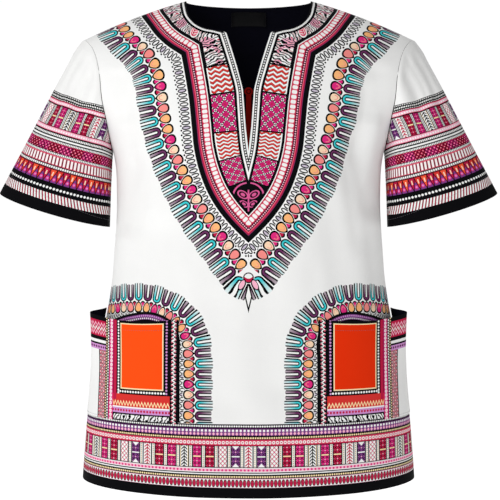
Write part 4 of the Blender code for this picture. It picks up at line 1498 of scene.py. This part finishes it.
class DASHIKI_OT_stage(bpy.types.Operator):
    """Make the floor, the lights and the camera"""
    bl_idname = "dashiki.stage"
    bl_label = "Floor, lights and camera"

    def execute(self, context):
        settings = context.scene.shirt_stage
        deselect()
        bpy.ops.mesh.primitive_plane_add(size=40.0, location=(0, 0, settings.floor))
        floor = context.object
        floor.name = "floor"
        paint = bpy.data.materials.new("floor_paint")
        paint.use_nodes = True
        shader = paint.node_tree.nodes["Principled BSDF"]
        shader.inputs["Base Color"].default_value = (0.9, 0.9, 0.9, 1.0)
        shader.inputs["Roughness"].default_value = 0.9
        shader.inputs["Emission Color"].default_value = (1.0, 1.0, 1.0, 1.0)
        shader.inputs["Emission Strength"].default_value = FLOOR_GLOW
        floor.data.materials.append(paint)
        world = bpy.data.worlds.new("studio")
        world.use_nodes = True
        sky = world.node_tree.nodes["Background"]
        sky.inputs["Color"].default_value = (1.0, 1.0, 1.0, 1.0)
        seen = node(world.node_tree, "ShaderNodeLightPath", {}, {})
        world.node_tree.links.new((settings.sky + (1.02 - settings.sky) * seen).socket, sky.inputs["Strength"])
        context.scene.world = world
        context.scene.view_settings.view_transform = "Standard"
        for name, place, aim, size, share in LIGHTS:
            direction = unit(np.array(aim) - np.array(place))
            tilt = math.acos(-direction[2])
            heading = math.atan2(direction[1], direction[0]) - math.pi / 2
            bpy.ops.object.light_add(type="AREA", location=place, rotation=(tilt, 0.0, heading))
            light = context.object
            light.name = name
            light.data.size = size
            light.data.energy = settings.key * share
        bpy.ops.object.camera_add(location=CAMERA_PLACE, rotation=(math.radians(90), 0.0, 0.0))
        camera = context.object
        camera.name = "camera"
        camera.data.lens = CAMERA_LENS
        camera.data.sensor_width = 36.0
        context.scene.camera = camera
        return {"FINISHED"}


OPERATORS = (DASHIKI_OT_front, DASHIKI_OT_back, DASHIKI_OT_sleeves, DASHIKI_OT_pockets, DASHIKI_OT_label,
             DASHIKI_OT_stitching, DASHIKI_OT_stage)


class DASHIKI_PT_panel(bpy.types.Panel):
    """The pieces of the shirt, in the order of their making"""
    bl_label = "Dashiki shirt"
    bl_idname = "DASHIKI_PT_panel"
    bl_space_type = "VIEW_3D"
    bl_region_type = "UI"
    bl_category = "Dashiki"

    def draw(self, context):
        for settings in (context.scene.shirt_cloth, context.scene.shirt_colours, context.scene.shirt_stage):
            box = self.layout.box()
            for name in settings.__annotations__:
                box.prop(settings, name)
        for operator in OPERATORS:
            self.layout.operator(operator.bl_idname)


CLASSES = (ShirtCloth, ShirtColours, ShirtStage, *OPERATORS, DASHIKI_PT_panel)


def register():
    for cls in CLASSES:
        bpy.utils.register_class(cls)
    bpy.types.Scene.shirt_cloth = PointerProperty(type=ShirtCloth)
    bpy.types.Scene.shirt_colours = PointerProperty(type=ShirtColours)
    bpy.types.Scene.shirt_stage = PointerProperty(type=ShirtStage)


def unregister():
    del bpy.types.Scene.shirt_stage
    del bpy.types.Scene.shirt_colours
    del bpy.types.Scene.shirt_cloth
    for cls in reversed(CLASSES):
        bpy.utils.unregister_class(cls)


def main():
    register()
    bpy.ops.dashiki.front()
    bpy.ops.dashiki.back()
    bpy.ops.dashiki.sleeves()
    bpy.ops.dashiki.pockets()
    bpy.ops.dashiki.label()
    bpy.ops.dashiki.stitching()
    bpy.ops.dashiki.stage()


if __name__ == "__main__":
    main()
